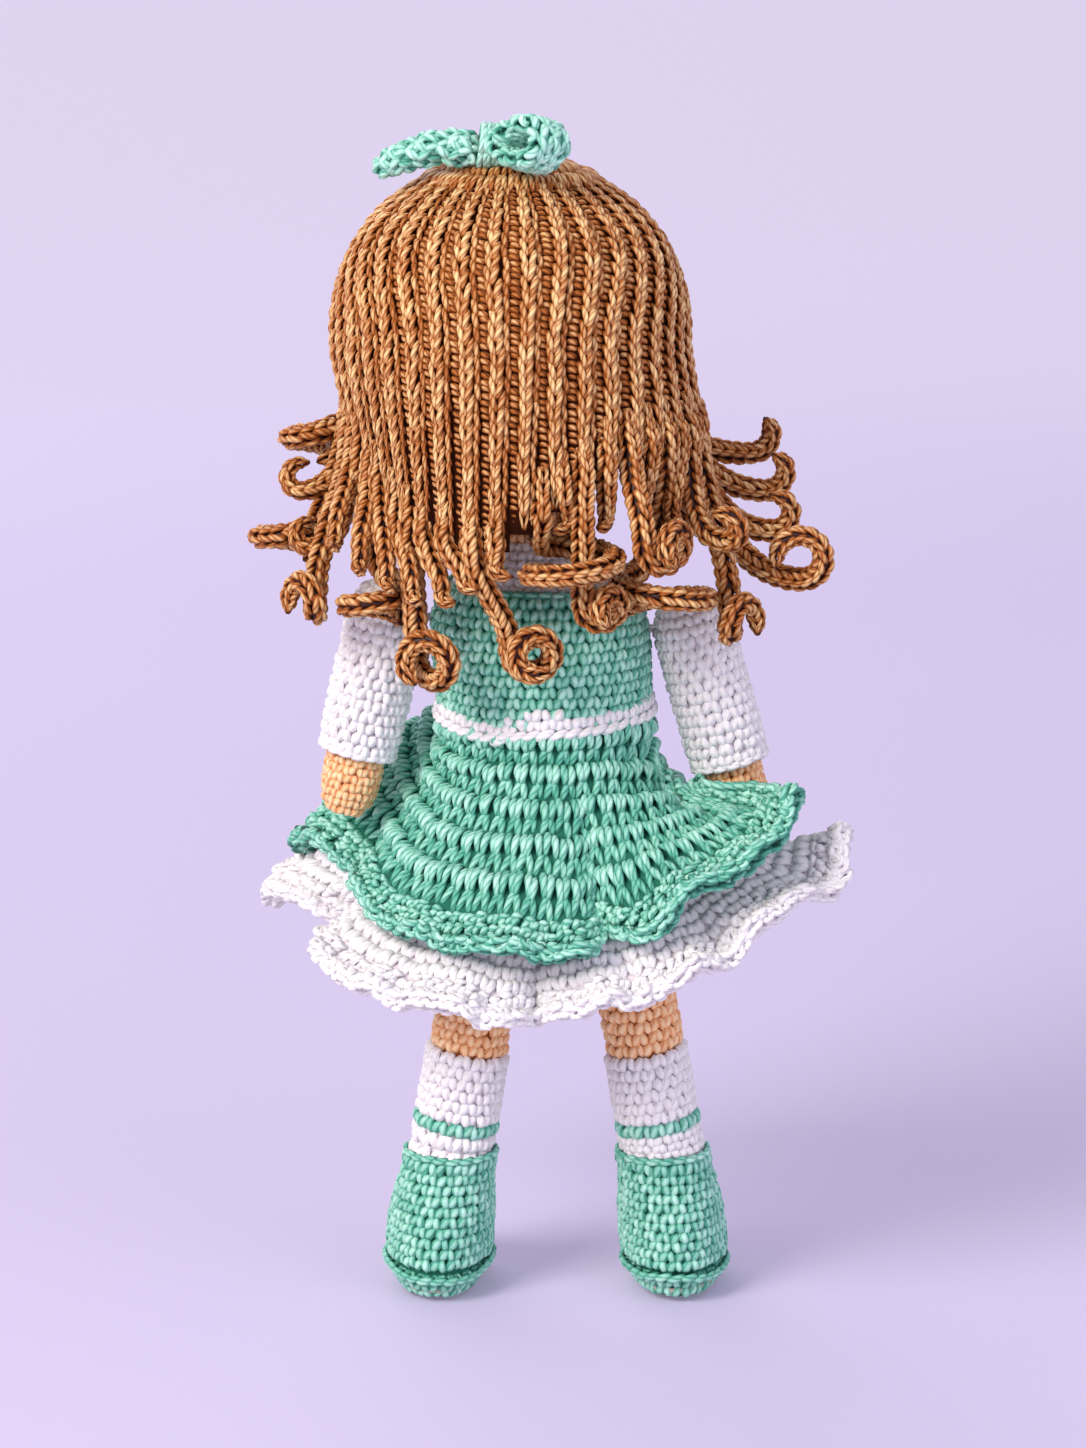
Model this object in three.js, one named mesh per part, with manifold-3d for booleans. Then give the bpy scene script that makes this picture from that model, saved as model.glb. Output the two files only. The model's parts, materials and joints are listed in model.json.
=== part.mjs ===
// A crocheted doll that stands on its own shoes. Millimetres, +Z up, the face looks along -Y.
import * as THREE from 'three';
import { mergeVertices } from 'three/addons/utils/BufferGeometryUtils.js';
import Module from 'manifold-3d';

const wasm = await Module();
wasm.setup();

const degree = Math.PI / 180;
const fullTurn = 2 * Math.PI;
const lathed = 18;

// Yarn and fits
const fit = 0.3;
const clothWall = 1.6;
const strandThick = 3.7;
const cutOverrun = 2;

// Heights that the whole doll is set out from
const crotchHeight = 98;
const waistHeight = 152;
const bodiceTopHeight = 184;
const neckBaseHeight = 196;
const neckTopHeight = 211;
const headHeight = 247;

// Body
const torsoHalfWidth = 25;
const torsoHalfDepth = 20.5;
const neckRadius = 10.4;
const torsoLean = 3.4 * degree;
const hipOffset = -3;
const pegRadius = 3;
const pegInBody = 38;
const pegInHead = 34;
const beltHeight = 4.6;
const beltThick = 2.4;

// Legs and shoes
const hipSpacing = 16.9;
const footSpacing = 30.6;
const legSplay = 9.5 * degree;
const legRadius = 9.6;
const sockRadius = 10.5;
const sockTopHeight = 64.5;
const shoeRimHeight = 38;
const stripeHeight = 45.6;
const stripeWidth = 3.4;
const stripeProud = 0.3;
const shoeHalfWidth = 13.5;
const heelReach = 13;
const toeReach = 31;
const soleHeight = 8.6;
const soleThick = 2.6;
const insoleThick = 1.2;
const collarHeight = 4.2;
const collarThick = 1.7;

// Arms
const armPivotHeights = { left: 176, right: 173 };
const armPivotOffsets = { left: 39.4, right: -36.9 };
const armLeans = { left: 12.5 * degree, right: -15.5 * degree };
const sleeveRadius = 9.7;
const sleeveLength = 34.5;
const handRadius = 7.1;
const handReach = 17;
const handInSleeve = 7;
const armStitchRadius = 2.6;

// Skirts
const skirtHemRadius = 58;
const skirtHemHeight = 104;
const petticoatHemRadius = 64;
const petticoatHemHeight = 90;
const skirtThick = 1.8;

// Head and face
const headRadius = 40;
const headOffset = 8.5;
const neckHeadOffset = 3.6;
const eyeTurns = { left: 19 * degree, right: -19 * degree };
const eyeTilt = 5 * degree;
const eyeRadius = 4;
const eyeProud = 2.6;
const eyeShankRadius = 1.5;
const washerRadius = 4.6;
const washerThick = 1.2;
const noseHalfWidth = 1.9;
const noseTilt = 14 * degree;
const mouthTilt = 24 * degree;
const mouthHalfWidth = 6;
const mouthRise = 2.1;
const mouthYarnRadius = 0.7;

// Hair: the wig opens at the face between two angles from the top of the head
const wigGap = 1.1;
const hairRadius = headRadius + wigGap + strandThick;
const crownAngle = 28 * degree;
const hairStrands = 28;
const hairHang = 44;
const faceOpening = 96 * degree;
const partingStart = 48 * degree;
const partingEnd = 88 * degree;
const curlStrandRadius = 2.9;
const curlTipRadius = 2;
const curlTurnGap = 1.4;

// Bow
const bowOffset = 4;
const bowTilt = 15 * degree;
const bowKnotRadius = 3.3;
const bowKnotLength = 8.4;
const bowBandWidth = 7.6;
const bowBandThick = 2.4;
const bowLoopLengths = { left: 27, right: 18 };

const materials = {
  whiteYarn: new THREE.MeshStandardMaterial({ color: '#f0ecf0', roughness: 0.85, metalness: 0 }),
  mintYarn: new THREE.MeshStandardMaterial({ color: '#86cbb9', roughness: 0.8, metalness: 0 }),
  skinYarn: new THREE.MeshStandardMaterial({ color: '#e0b487', roughness: 0.85, metalness: 0 }),
  hairYarn: new THREE.MeshStandardMaterial({ color: '#bd7641', roughness: 0.75, metalness: 0 }),
  stuffing: new THREE.MeshStandardMaterial({ color: '#f4f2ee', roughness: 1, metalness: 0 }),
  wood: new THREE.MeshStandardMaterial({ color: '#d9b98a', roughness: 0.7, metalness: 0 }),
  blackPlastic: new THREE.MeshStandardMaterial({ color: '#1a1512', roughness: 0.15, metalness: 0 }),
  whitePlastic: new THREE.MeshStandardMaterial({ color: '#e8e6e0', roughness: 0.5, metalness: 0 }),
  pinkYarn: new THREE.MeshStandardMaterial({ color: '#c9747a', roughness: 0.85, metalness: 0 }),
};

// Closed body whose rows of points run from one pole to the other
function poleBody(pointAt, around, along) {
  const points = [pointAt(0, 0)];
  for (let j = 1; j < along; j += 1) {
    for (let i = 0; i < around; i += 1) {
      points.push(pointAt(i / around, j / along));
    }
  }
  points.push(pointAt(0, 1));
  const faces = [];
  const last = points.length - 1;
  const row = (j, i) => 1 + (j - 1) * around + (i % around);
  for (let i = 0; i < around; i += 1) {
    faces.push(0, row(1, i), row(1, i + 1));
    faces.push(last, row(along - 1, i + 1), row(along - 1, i));
    for (let j = 1; j < along - 1; j += 1) {
      faces.push(row(j, i), row(j + 1, i), row(j + 1, i + 1));
      faces.push(row(j, i), row(j + 1, i + 1), row(j, i + 1));
    }
  }
  return facesOut(points, faces);
}

// Closed body whose section loops back on itself, such as a sleeve of cloth open at both ends
function ringBody(pointAt, around, along) {
  const points = [];
  const faces = [];
  for (let j = 0; j < along; j += 1) {
    for (let i = 0; i < around; i += 1) {
      points.push(pointAt(i / around, j / along));
      const a = j * around + i;
      const b = j * around + ((i + 1) % around);
      const c = ((j + 1) % along) * around + i;
      const d = ((j + 1) % along) * around + ((i + 1) % around);
      faces.push(a, c, d, a, d, b);
    }
  }
  return facesOut(points, faces);
}

function facesOut(points, faces) {
  let volume = 0;
  for (let k = 0; k < faces.length; k += 3) {
    const [a, b, c] = [points[faces[k]], points[faces[k + 1]], points[faces[k + 2]]];
    volume += a.dot(new THREE.Vector3().crossVectors(b, c));
  }
  if (volume < 0) {
    faces.reverse();
  }
  const geometry = new THREE.BufferGeometry();
  geometry.setAttribute('position', new THREE.Float32BufferAttribute(points.flatMap((p) => p.toArray()), 3));
  geometry.setIndex(faces);
  return geometry;
}

function toManifold(geometry) {
  const bare = geometry.clone();
  bare.deleteAttribute('normal');
  bare.deleteAttribute('uv');
  const merged = mergeVertices(bare);
  const vertProperties = new Float32Array(merged.attributes.position.array);
  const triVerts = new Uint32Array(merged.index.array);
  return new wasm.Manifold(new wasm.Mesh({ numProp: 3, vertProperties, triVerts }));
}

function fromManifold(solid) {
  const mesh = solid.getMesh();
  const geometry = new THREE.BufferGeometry();
  geometry.setAttribute('position', new THREE.BufferAttribute(new Float32Array(mesh.vertProperties), 3));
  geometry.setIndex(new THREE.BufferAttribute(new Uint32Array(mesh.triVerts), 1));
  return geometry;
}

function cutAway(geometry, ...tools) {
  return fromManifold(tools.reduce((solid, tool) => solid.subtract(toManifold(tool)), toManifold(geometry)));
}

function joined(geometry, ...others) {
  return fromManifold(others.reduce((solid, other) => solid.add(toManifold(other)), toManifold(geometry)));
}

function mesh(name, geometry, material) {
  const piece = new THREE.Mesh(geometry, materials[material]);
  piece.name = name;
  return piece;
}

// Value of a table of [place, value] pairs at a place, smooth through its points
function readShares(table, place) {
  let k = 0;
  while (k < table.length - 2 && place > table[k + 1][0]) {
    k += 1;
  }
  const before = table[Math.max(k - 1, 0)];
  const [start, end] = [table[k], table[k + 1]];
  const after = table[Math.min(k + 2, table.length - 1)];
  const span = end[0] - start[0];
  const s = Math.min(Math.max((place - start[0]) / span, 0), 1);
  const slopeIn = ((end[1] - before[1]) / (end[0] - before[0])) * span;
  const slopeOut = ((after[1] - start[1]) / (after[0] - start[0])) * span;
  const rise = end[1] - start[1];
  const bend = 3 * rise - 2 * slopeIn - slopeOut + s * (slopeIn + slopeOut - 2 * rise);
  return start[1] + s * (slopeIn + s * bend);
}

function ovalPoint(turnShare, halfWidth, halfDepth, centre) {
  const angle = fullTurn * turnShare;
  const across = halfWidth * Math.cos(angle);
  return new THREE.Vector3(centre.x + across, centre.y + halfDepth * Math.sin(angle), centre.z);
}

// Rows of ovals stacked up a body: a row of no width is a pole, otherwise the last row joins the first
const row = (z, halfWidth, halfDepth = halfWidth, x = 0, y = 0) => ({ x, y, z, halfWidth, halfDepth });

function ovalBody(rows, around = lathed) {
  const hasPoles = rows[0].halfWidth === 0;
  const steps = hasPoles ? rows.length - 1 : rows.length;
  const pointAt = (u, t) => {
    const at = rows[Math.round(t * steps)];
    return ovalPoint(u, at.halfWidth, at.halfDepth, at);
  };
  return hasPoles ? poleBody(pointAt, around, steps) : ringBody(pointAt, around, steps);
}

const inset = (rows, by) => rows.map((at) => row(at.z, at.halfWidth - by, at.halfDepth - by, at.x, at.y));
const pole = (at, z = at.z) => row(z, 0, 0, at.x, at.y);

// Shell of cloth around rows that run upwards, closed below by a floor of the same cloth when asked
function clothShell(rows, wall, closedBelow = false) {
  const inner = inset(rows, wall).reverse();
  if (!closedBelow) {
    return ovalBody([...rows, ...inner]);
  }
  const floor = rows[0].z + wall;
  const raised = inner.map((at) => ({ ...at, z: Math.max(at.z, floor) }));
  return ovalBody([pole(rows[0]), ...rows, ...raised, pole(rows[0], floor)]);
}

const solidOf = (rows) => ovalBody([pole(rows[0]), ...rows, pole(rows[rows.length - 1])]);

// Tube along a path, closed at both ends
function strandBody(curve, steps, sides, radiusAt) {
  const frames = curve.computeFrenetFrames(steps, false);
  const pointAt = (u, t) => {
    const k = Math.round(t * (steps + 2));
    const at = Math.min(Math.max(k - 1, 0), steps);
    const centre = curve.getPointAt(at / steps);
    const radius = k === 0 || k === steps + 2 ? 0 : radiusAt(at / steps);
    const angle = fullTurn * u;
    return centre
      .addScaledVector(frames.normals[at], radius * Math.cos(angle))
      .addScaledVector(frames.binormals[at], radius * Math.sin(angle));
  };
  return poleBody(pointAt, sides, steps + 2);
}

// Body outline: share of the height from crotch to neck, share of the half width
const torsoShares = [
  [0, 0.62], [0.06, 0.82], [0.16, 0.95], [0.32, 1], [0.55, 0.985],
  [0.74, 1], [0.83, 0.95], [0.9, 0.79], [0.96, 0.56], [1, neckRadius / torsoHalfWidth],
];

function torsoAt(z, grow = 0) {
  const share = readShares(torsoShares, (z - crotchHeight) / (neckBaseHeight - crotchHeight));
  const roundness = neckRadius / torsoHalfWidth;
  const depthShare = torsoHalfDepth / torsoHalfWidth;
  const slim = share > roundness ? depthShare + (1 - depthShare) * ((1 - share) / (1 - roundness)) ** 2 : 1;
  const x = Math.tan(torsoLean) * (z - waistHeight);
  return row(z, torsoHalfWidth * share + grow, torsoHalfWidth * share * slim + grow, x);
}

const rowsBetween = (low, high, count, at) =>
  Array.from({ length: count + 1 }, (_, k) => at(low + ((high - low) * k) / count));

const neckX = neckHeadOffset;

const coverHeights = () => rowsBetween(crotchHeight, neckBaseHeight, 8, (z) => z);

function bodyCover() {
  const rows = coverHeights().map((z) => torsoAt(z));
  return mesh('body_cover', clothShell(rows, clothWall, true), 'whiteYarn');
}

function neckRows(radius, low, high) {
  const base = torsoAt(neckBaseHeight);
  return [row(low, radius, radius, base.x), row(high, radius, radius, neckX)];
}

function neckCover() {
  const rows = neckRows(neckRadius, neckBaseHeight + fit, neckTopHeight);
  return mesh('neck_cover', clothShell(rows, clothWall), 'skinYarn');
}

function pegHole(low, high) {
  const hole = new THREE.CylinderGeometry(pegRadius + fit, pegRadius + fit, high - low, lathed);
  hole.rotateX(Math.PI / 2);
  return hole.translate(neckX, 0, (low + high) / 2);
}

function bodyStuffing() {
  const gap = clothWall + fit;
  const rows = coverHeights().map((z) => torsoAt(z, -gap));
  rows[0].z += gap;
  const neck = neckRows(neckRadius - gap, neckBaseHeight + fit, neckTopHeight - clothWall);
  const filling = solidOf([...rows, ...neck]);
  const bore = pegHole(neckTopHeight - pegInBody - fit, neckTopHeight + cutOverrun);
  return mesh('body_stuffing', cutAway(filling, bore), 'stuffing');
}

function neckPeg() {
  const tip = pegRadius / 2;
  const low = neckTopHeight - pegInBody;
  const high = neckTopHeight + pegInHead;
  const rows = [row(low, tip), row(low + tip, pegRadius), row(high - tip, pegRadius), row(high, tip)];
  const peg = mesh('neck_peg', ovalBody([pole(rows[0]), ...rows, pole(rows[3])], lathed / 2), 'wood');
  peg.position.x = neckX;
  return peg;
}

function bodice() {
  const low = waistHeight + beltHeight / 2 + fit;
  const rows = rowsBetween(low, bodiceTopHeight, 4, (z) => torsoAt(z, fit + clothWall));
  return mesh('bodice', clothShell(rows, clothWall), 'mintYarn');
}

function belt() {
  const half = beltHeight / 2;
  const roundShares = [[-1, 0.75], [-0.5, 1], [0.5, 1], [1, 0.75]];
  const rows = roundShares.map(([up, proud]) => torsoAt(waistHeight + half * up, fit + beltThick * proud));
  const inner = [1, -1].map((side) => torsoAt(waistHeight + half * side, fit));
  return mesh('belt', ovalBody([...rows, ...inner]), 'whiteYarn');
}

// Skirt folds: place round the waist as a share of a turn from the doll's left, hem radius share,
// lift share of the hem, and puff share of the cloth between waist and hem
const skirtFoldShares = [
  [0, 0.74, 0.06, 0], [0.05, 0.86, 0.22, 0], [0.11, 0.93, 0.08, 0], [0.172, 0.95, 0.02, 0],
  [0.25, 0.957, 0, 0], [0.283, 0.91, -0.03, 0], [0.3, 0.79, 0.04, 0], [0.32, 0.95, 0.06, 0],
  [0.361, 1.09, 0.33, -0.12], [0.405, 1.22, 0.6, -0.24], [0.43, 1.2, 0.71, -0.3],
  [0.45, 0.98, 0.72, -0.3], [0.466, 0.72, 0.66, -0.16], [0.48, 0.64, 0.52, -0.04], [0.5, 0.65, 0.36, 0],
  [0.522, 0.66, 0.25, 0], [0.545, 0.84, 0.17, 0], [0.597, 1.1, 0.2, 0],
  [0.667, 1.07, 0.04, 0], [0.736, 1.03, 0, 0], [0.806, 1.1, 0.08, 0.1], [0.867, 1.2, 0.06, 0.3],
  [0.914, 1.29, 0.17, 0.26], [0.958, 1, 0.25, 0.04],
];
const petticoatFoldShares = [
  [0, 0.72, 0.065, 0], [0.033, 0.89, 0.11, 0], [0.07, 0.95, 0.08, 0], [0.125, 0.945, 0.016, 0],
  [0.18, 0.94, 0, 0], [0.217, 0.89, -0.05, 0], [0.239, 0.73, -0.1, 0], [0.264, 0.84, -0.03, 0],
  [0.306, 0.92, 0.016, 0], [0.361, 0.98, 0.13, -0.03], [0.417, 1.11, 0.355, -0.1],
  [0.45, 1.23, 0.53, -0.16], [0.478, 1.11, 0.53, -0.16], [0.503, 0.77, 0.25, -0.05],
  [0.536, 0.8, 0.13, 0], [0.597, 1.09, 0.17, 0], [0.667, 1.06, 0.05, 0], [0.736, 1, 0.01, 0],
  [0.806, 1.06, 0.08, 0], [0.872, 1.19, 0.06, 0.1], [0.925, 1.27, 0.16, 0.1], [0.964, 0.97, 0.17, 0],
];

function readFold(folds, u, column) {
  const pairs = folds.map((fold) => [fold[0], fold[column]]);
  const first = pairs[0];
  const last = pairs[pairs.length - 1];
  const second = pairs[1];
  const around = [[last[0] - 1, last[1]], ...pairs, [first[0] + 1, first[1]], [second[0] + 1, second[1]]];
  return readShares(around, u);
}

// Cloth that leaves the body at a height and flares to a folded hem
function flaredCloth(folds, topHeight, hemRadius, hemHeight, rows) {
  const around = 60;
  const flarePower = 1.7;
  const length = waistHeight - hemHeight;
  const surfaceAt = (u, t) => {
    const top = torsoAt(topHeight, fit);
    const start = ovalPoint(u, top.halfWidth, top.halfDepth, top);
    const angle = fullTurn * u;
    const reach = hemRadius * readFold(folds, u, 1);
    const hemZ = hemHeight + length * readFold(folds, u, 2);
    const puff = length * readFold(folds, u, 3) * 4 * t * (1 - t);
    const flare = t ** flarePower;
    return new THREE.Vector3(
      start.x + (reach * Math.cos(angle) - start.x) * flare,
      start.y + (reach * Math.sin(angle) - start.y) * flare,
      start.z + (hemZ - start.z) * t + puff,
    );
  };
  const stepShare = 0.004;
  const pointAt = (u, t) => {
    const k = Math.round(t * 2 * (rows + 1));
    const outside = k <= rows;
    const down = outside ? k / rows : (2 * rows + 1 - k) / rows;
    const point = surfaceAt(u, down);
    if (outside === false) {
      return point;
    }
    const across = surfaceAt(u + stepShare, down).sub(surfaceAt(u - stepShare, down));
    const along = surfaceAt(u, down + stepShare).sub(surfaceAt(u, Math.max(down - stepShare, 0)));
    const normal = along.cross(across).normalize();
    if (k === 0) {
      normal.set(Math.cos(fullTurn * u), Math.sin(fullTurn * u), 0);
    }
    return point.addScaledVector(normal.z < 0 && k > 0 ? normal.negate() : normal, skirtThick);
  };
  return ringBody(pointAt, around, 2 * (rows + 1));
}

const skirtTopHeight = waistHeight - beltHeight / 2 - skirtThick - fit;
const petticoatTopShare = 0.28;
const petticoatTopHeight = skirtTopHeight - petticoatTopShare * (waistHeight - skirtHemHeight);

function skirt() {
  const cloth = flaredCloth(skirtFoldShares, skirtTopHeight, skirtHemRadius, skirtHemHeight, 5);
  return mesh('skirt', cloth, 'mintYarn');
}

function petticoat() {
  const folds = petticoatFoldShares;
  const cloth = flaredCloth(folds, petticoatTopHeight, petticoatHemRadius, petticoatHemHeight, 4);
  return mesh('petticoat', cloth, 'whiteYarn');
}

// Legs: every row is level, and its centre follows the splayed leg
const legX = (side, z) => side * (hipSpacing + Math.tan(legSplay) * (crotchHeight - z));

function legRows(side, pairs) {
  return pairs.map(([z, radius]) => row(z, radius, radius, legX(side, z)));
}

// Shoe outline: height share of the rim, half width share, heel share, toe share
const shoeShares = [
  [0, 0.84, 0.8, 0.9], [0.05, 0.94, 0.92, 0.97], [0.12, 0.99, 0.98, 1], [0.23, 1, 1, 1],
  [0.36, 1, 1, 0.97], [0.5, 0.985, 0.97, 0.84], [0.64, 0.95, 0.94, 0.64], [0.8, 0.89, 0.89, 0.45],
  [1, 0.82, 0.85, 0.36],
];

function shoeAt(side, z, grow = 0) {
  const share = z / shoeRimHeight;
  const column = (k) => readShares(shoeShares.map((at) => [at[0], at[k]]), share);
  const heel = heelReach * column(2) + grow;
  const toe = toeReach * column(3) + grow;
  const lean = (1 - share) * (1 - share) * legX(side, 0);
  const x = legX(side, z) + (side * footSpacing - legX(side, 0)) * (lean / legX(side, 0));
  return row(z, shoeHalfWidth * column(1) + grow, (heel + toe) / 2, x, (heel - toe) / 2);
}

const dishHeights = () => rowsBetween(soleThick, soleHeight, 2, (z) => z);
const upperHeights = () => rowsBetween(soleHeight + fit, shoeRimHeight - collarHeight - fit, 5, (z) => z);

function sole(side, name) {
  const outer = rowsBetween(0, soleHeight, 4, (z) => shoeAt(side, z));
  const inner = dishHeights().map((z) => shoeAt(side, z, -clothWall)).reverse();
  const last = inner[inner.length - 1];
  return mesh(name, ovalBody([pole(outer[0]), ...outer, ...inner, pole(last)]), 'mintYarn');
}

function insole(side, name) {
  const low = soleThick + fit;
  const rows = [low, low + insoleThick].map((z) => shoeAt(side, z, -clothWall - fit));
  return mesh(name, solidOf(rows), 'whitePlastic');
}

function shoeUpper(side, name) {
  const rows = upperHeights().map((z) => shoeAt(side, z));
  return mesh(name, clothShell(rows, clothWall), 'mintYarn');
}

function shoeCollar(side, name) {
  const low = shoeRimHeight - collarHeight;
  const rows = rowsBetween(low, shoeRimHeight, 2, (z) => shoeAt(side, z, (collarThick - clothWall) / 2));
  return mesh(name, clothShell(rows, collarThick), 'mintYarn');
}

function sock(side, name) {
  const inShoe = shoeAt(side, shoeRimHeight).halfWidth - clothWall - 2 * fit;
  const low = shoeRimHeight - collarHeight - 2 * fit;
  const half = stripeWidth / 2 + fit;
  const groove = sockRadius - clothWall / 2;
  const outer = legRows(side, [
    [low, inShoe], [shoeRimHeight, inShoe], [shoeRimHeight + clothWall, sockRadius],
    [stripeHeight - half, sockRadius], [stripeHeight - half, groove],
    [stripeHeight + half, groove], [stripeHeight + half, sockRadius],
    [(stripeHeight + sockTopHeight) / 2, sockRadius], [sockTopHeight, sockRadius - fit],
  ]);
  const inner = legRows(side, [[sockTopHeight, legRadius - clothWall], [low, legRadius - clothWall]]);
  return mesh(name, ovalBody([...outer, ...inner]), 'whiteYarn');
}

function sockStripe(side, name) {
  const half = stripeWidth / 2;
  const inner = sockRadius - clothWall / 2 + fit;
  const rows = legRows(side, [
    [stripeHeight - half, inner], [stripeHeight - half, sockRadius + stripeProud],
    [stripeHeight + half, sockRadius + stripeProud], [stripeHeight + half, inner],
  ]);
  return mesh(name, ovalBody(rows), 'mintYarn');
}

function torsoEnvelope(grow) {
  const rows = rowsBetween(crotchHeight, waistHeight, 8, (z) => torsoAt(z, grow));
  rows[0].z -= grow;
  return solidOf(rows).translate(-hipOffset, 0, 0);
}

function leg(side, name) {
  const thighShare = 1.06;
  const high = crotchHeight + legRadius;
  const middle = (sockTopHeight + high) / 2;
  const low = sockTopHeight + fit;
  const rows = legRows(side, [[low, legRadius], [middle, legRadius], [high, legRadius * thighShare]]);
  return mesh(name, cutAway(clothShell(rows, clothWall), torsoEnvelope(fit)), 'skinYarn');
}

function legStuffing(side, name) {
  const low = soleThick + insoleThick + 2 * fit;
  const levels = [low, ...dishHeights().slice(1), ...upperHeights().slice(0, -1)];
  const inShoe = levels.map((z) => shoeAt(side, z, -clothWall - fit));
  const radius = legRadius - clothWall - fit;
  const high = crotchHeight + legRadius;
  const ankle = shoeRimHeight - collarHeight - 3 * fit;
  const above = legRows(side, [[ankle, radius], [sockTopHeight, radius], [high, radius]]);
  const filling = solidOf([...inShoe, ...above]);
  return mesh(name, cutAway(filling, torsoEnvelope(fit)), 'stuffing');
}

// Arms hang along their group's -Z from the pivot at the shoulder
function domeRows(radius) {
  const count = 3;
  return Array.from({ length: count }, (_, k) => {
    const angle = (Math.PI / 2) * (1 - (k + 1) / (count + 1));
    return row(radius * Math.sin(angle), radius * Math.cos(angle));
  });
}

function sleeve(name) {
  const inside = sleeveRadius - clothWall;
  const sleeveShares = [[0, 1], [0.55, 1.02], [0.9, 1.01], [1, 0.95]];
  const tube = sleeveShares.map(([down, width]) => row(-sleeveLength * down, sleeveRadius * width));
  const outer = [row(sleeveRadius, 0), ...domeRows(sleeveRadius), ...tube];
  const inner = [...inset(tube, clothWall).reverse(), ...domeRows(inside).reverse(), row(inside, 0)];
  return mesh(name, ovalBody([...outer, ...inner]), 'whiteYarn');
}

function hand(name) {
  const tip = -sleeveLength - handReach;
  const top = -sleeveLength + handInSleeve;
  const handShares = [[0.02, 0.4], [0.1, 0.74], [0.25, 0.94], [0.45, 1], [1, 0.94]];
  const rows = handShares.map(([height, width]) => row(tip + (top - tip) * height, handRadius * width));
  return mesh(name, ovalBody([row(tip, 0), ...rows, row(top, 0)]), 'skinYarn');
}

function armStuffing(name) {
  const radius = sleeveRadius - clothWall - fit;
  const low = -sleeveLength + handInSleeve + fit;
  const rows = [row(low, 0), row(low, radius), row(0, radius), ...domeRows(radius).reverse(), row(radius, 0)];
  return mesh(name, ovalBody(rows), 'stuffing');
}

function arm(side) {
  const sleeveArm = new THREE.Group();
  sleeveArm.position.set(armPivotOffsets[side], 0, armPivotHeights[side]);
  sleeveArm.rotation.y = -armLeans[side];
  sleeveArm.add(sleeve(`sleeve_${side}`), hand(`hand_${side}`), armStuffing(`arm_stuffing_${side}`));
  return sleeveArm;
}

// Yarn button that holds the top of the sleeve against the side of the body
function armStitch(side) {
  const sign = Math.sign(armPivotOffsets[side]);
  const height = armPivotHeights[side];
  const body = torsoAt(height, fit + clothWall);
  const from = body.x + sign * (body.halfWidth + fit);
  const to = armPivotOffsets[side] - sign * (sleeveRadius + fit);
  const length = Math.abs(to - from);
  const stitch = new THREE.CylinderGeometry(armStitchRadius, armStitchRadius, length, lathed / 2);
  stitch.rotateZ(Math.PI / 2);
  const piece = mesh(`arm_stitch_${side}`, stitch, 'whiteYarn');
  piece.position.set((from + to) / 2, 0, height);
  return piece;
}

// Head: everything below is placed from the middle of the head
function ball(radius, around = 24, along = 14) {
  const pointAt = (u, t) => {
    const across = radius * Math.sin(Math.PI * t);
    return ovalPoint(u, across, across, { x: 0, y: 0, z: radius * Math.cos(Math.PI * t) });
  };
  return poleBody(pointAt, around, along);
}

const neckInHead = neckHeadOffset - headOffset;

// Turns a shape made along +Z to stand out of the head, towards the face
function onFace(geometry, turnAngle, tilt) {
  return geometry.rotateX(Math.PI / 2 + tilt).rotateZ(turnAngle);
}

function faceBore(radius, turnAngle, low, high) {
  const bore = new THREE.CylinderGeometry(radius, radius, high - low, lathed / 2);
  bore.rotateX(Math.PI / 2).translate(0, 0, (low + high) / 2);
  return onFace(bore, turnAngle, eyeTilt);
}

function neckBore(radius, low, high) {
  const bore = new THREE.CylinderGeometry(radius, radius, high - low, lathed);
  return bore.rotateX(Math.PI / 2).translate(neckInHead, 0, (low + high) / 2);
}

function headCover() {
  const neck = neckBore(neckRadius + fit, -headRadius - cutOverrun, 0);
  const shell = cutAway(ball(headRadius), ball(headRadius - clothWall), neck);
  const shank = eyeShankRadius + fit;
  const bores = Object.values(eyeTurns).map((angle) => faceBore(shank, angle, 0, headRadius + cutOverrun));
  return mesh('head_cover', cutAway(shell, ...bores), 'skinYarn');
}

function headStuffing() {
  const radius = headRadius - clothWall - fit;
  const neckEnd = neckTopHeight - headHeight + fit;
  const pocketDepth = radius - washerThick - 4 * fit;
  const pocketAt = (angle) => faceBore(washerRadius + fit, angle, pocketDepth, headRadius);
  const pockets = Object.values(eyeTurns).map(pocketAt);
  const peg = neckBore(pegRadius + fit, -headRadius, neckEnd + pegInHead);
  const neck = neckBore(neckRadius + fit, -headRadius, neckEnd);
  return mesh('head_stuffing', cutAway(ball(radius), neck, peg, ...pockets), 'stuffing');
}

function eye(side) {
  const seat = headRadius + fit;
  const shankEnd = headRadius - clothWall - washerThick - 4 * fit;
  const profile = [[0, shankEnd], [eyeShankRadius, shankEnd], [eyeShankRadius, seat], [eyeRadius, seat]];
  const steps = 4;
  for (let k = 1; k < steps; k += 1) {
    const angle = (Math.PI / 2) * (k / steps);
    profile.push([eyeRadius * Math.cos(angle), seat + eyeProud * Math.sin(angle)]);
  }
  profile.push([0, seat + eyeProud]);
  const lathe = new THREE.LatheGeometry(profile.map(([x, y]) => new THREE.Vector2(x, y)), lathed / 2);
  return mesh(`eye_${side}`, onFace(lathe.rotateX(Math.PI / 2), eyeTurns[side], eyeTilt), 'blackPlastic');
}

function eyeWasher(side) {
  const top = headRadius - clothWall - 3 * fit;
  const low = top - washerThick;
  const inner = eyeShankRadius + fit;
  const rows = [row(low, inner), row(low, washerRadius), row(top, washerRadius), row(top, inner)];
  const washer = onFace(ovalBody(rows, lathed / 2), eyeTurns[side], eyeTilt);
  return mesh(`eye_washer_${side}`, washer, 'whitePlastic');
}

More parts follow.
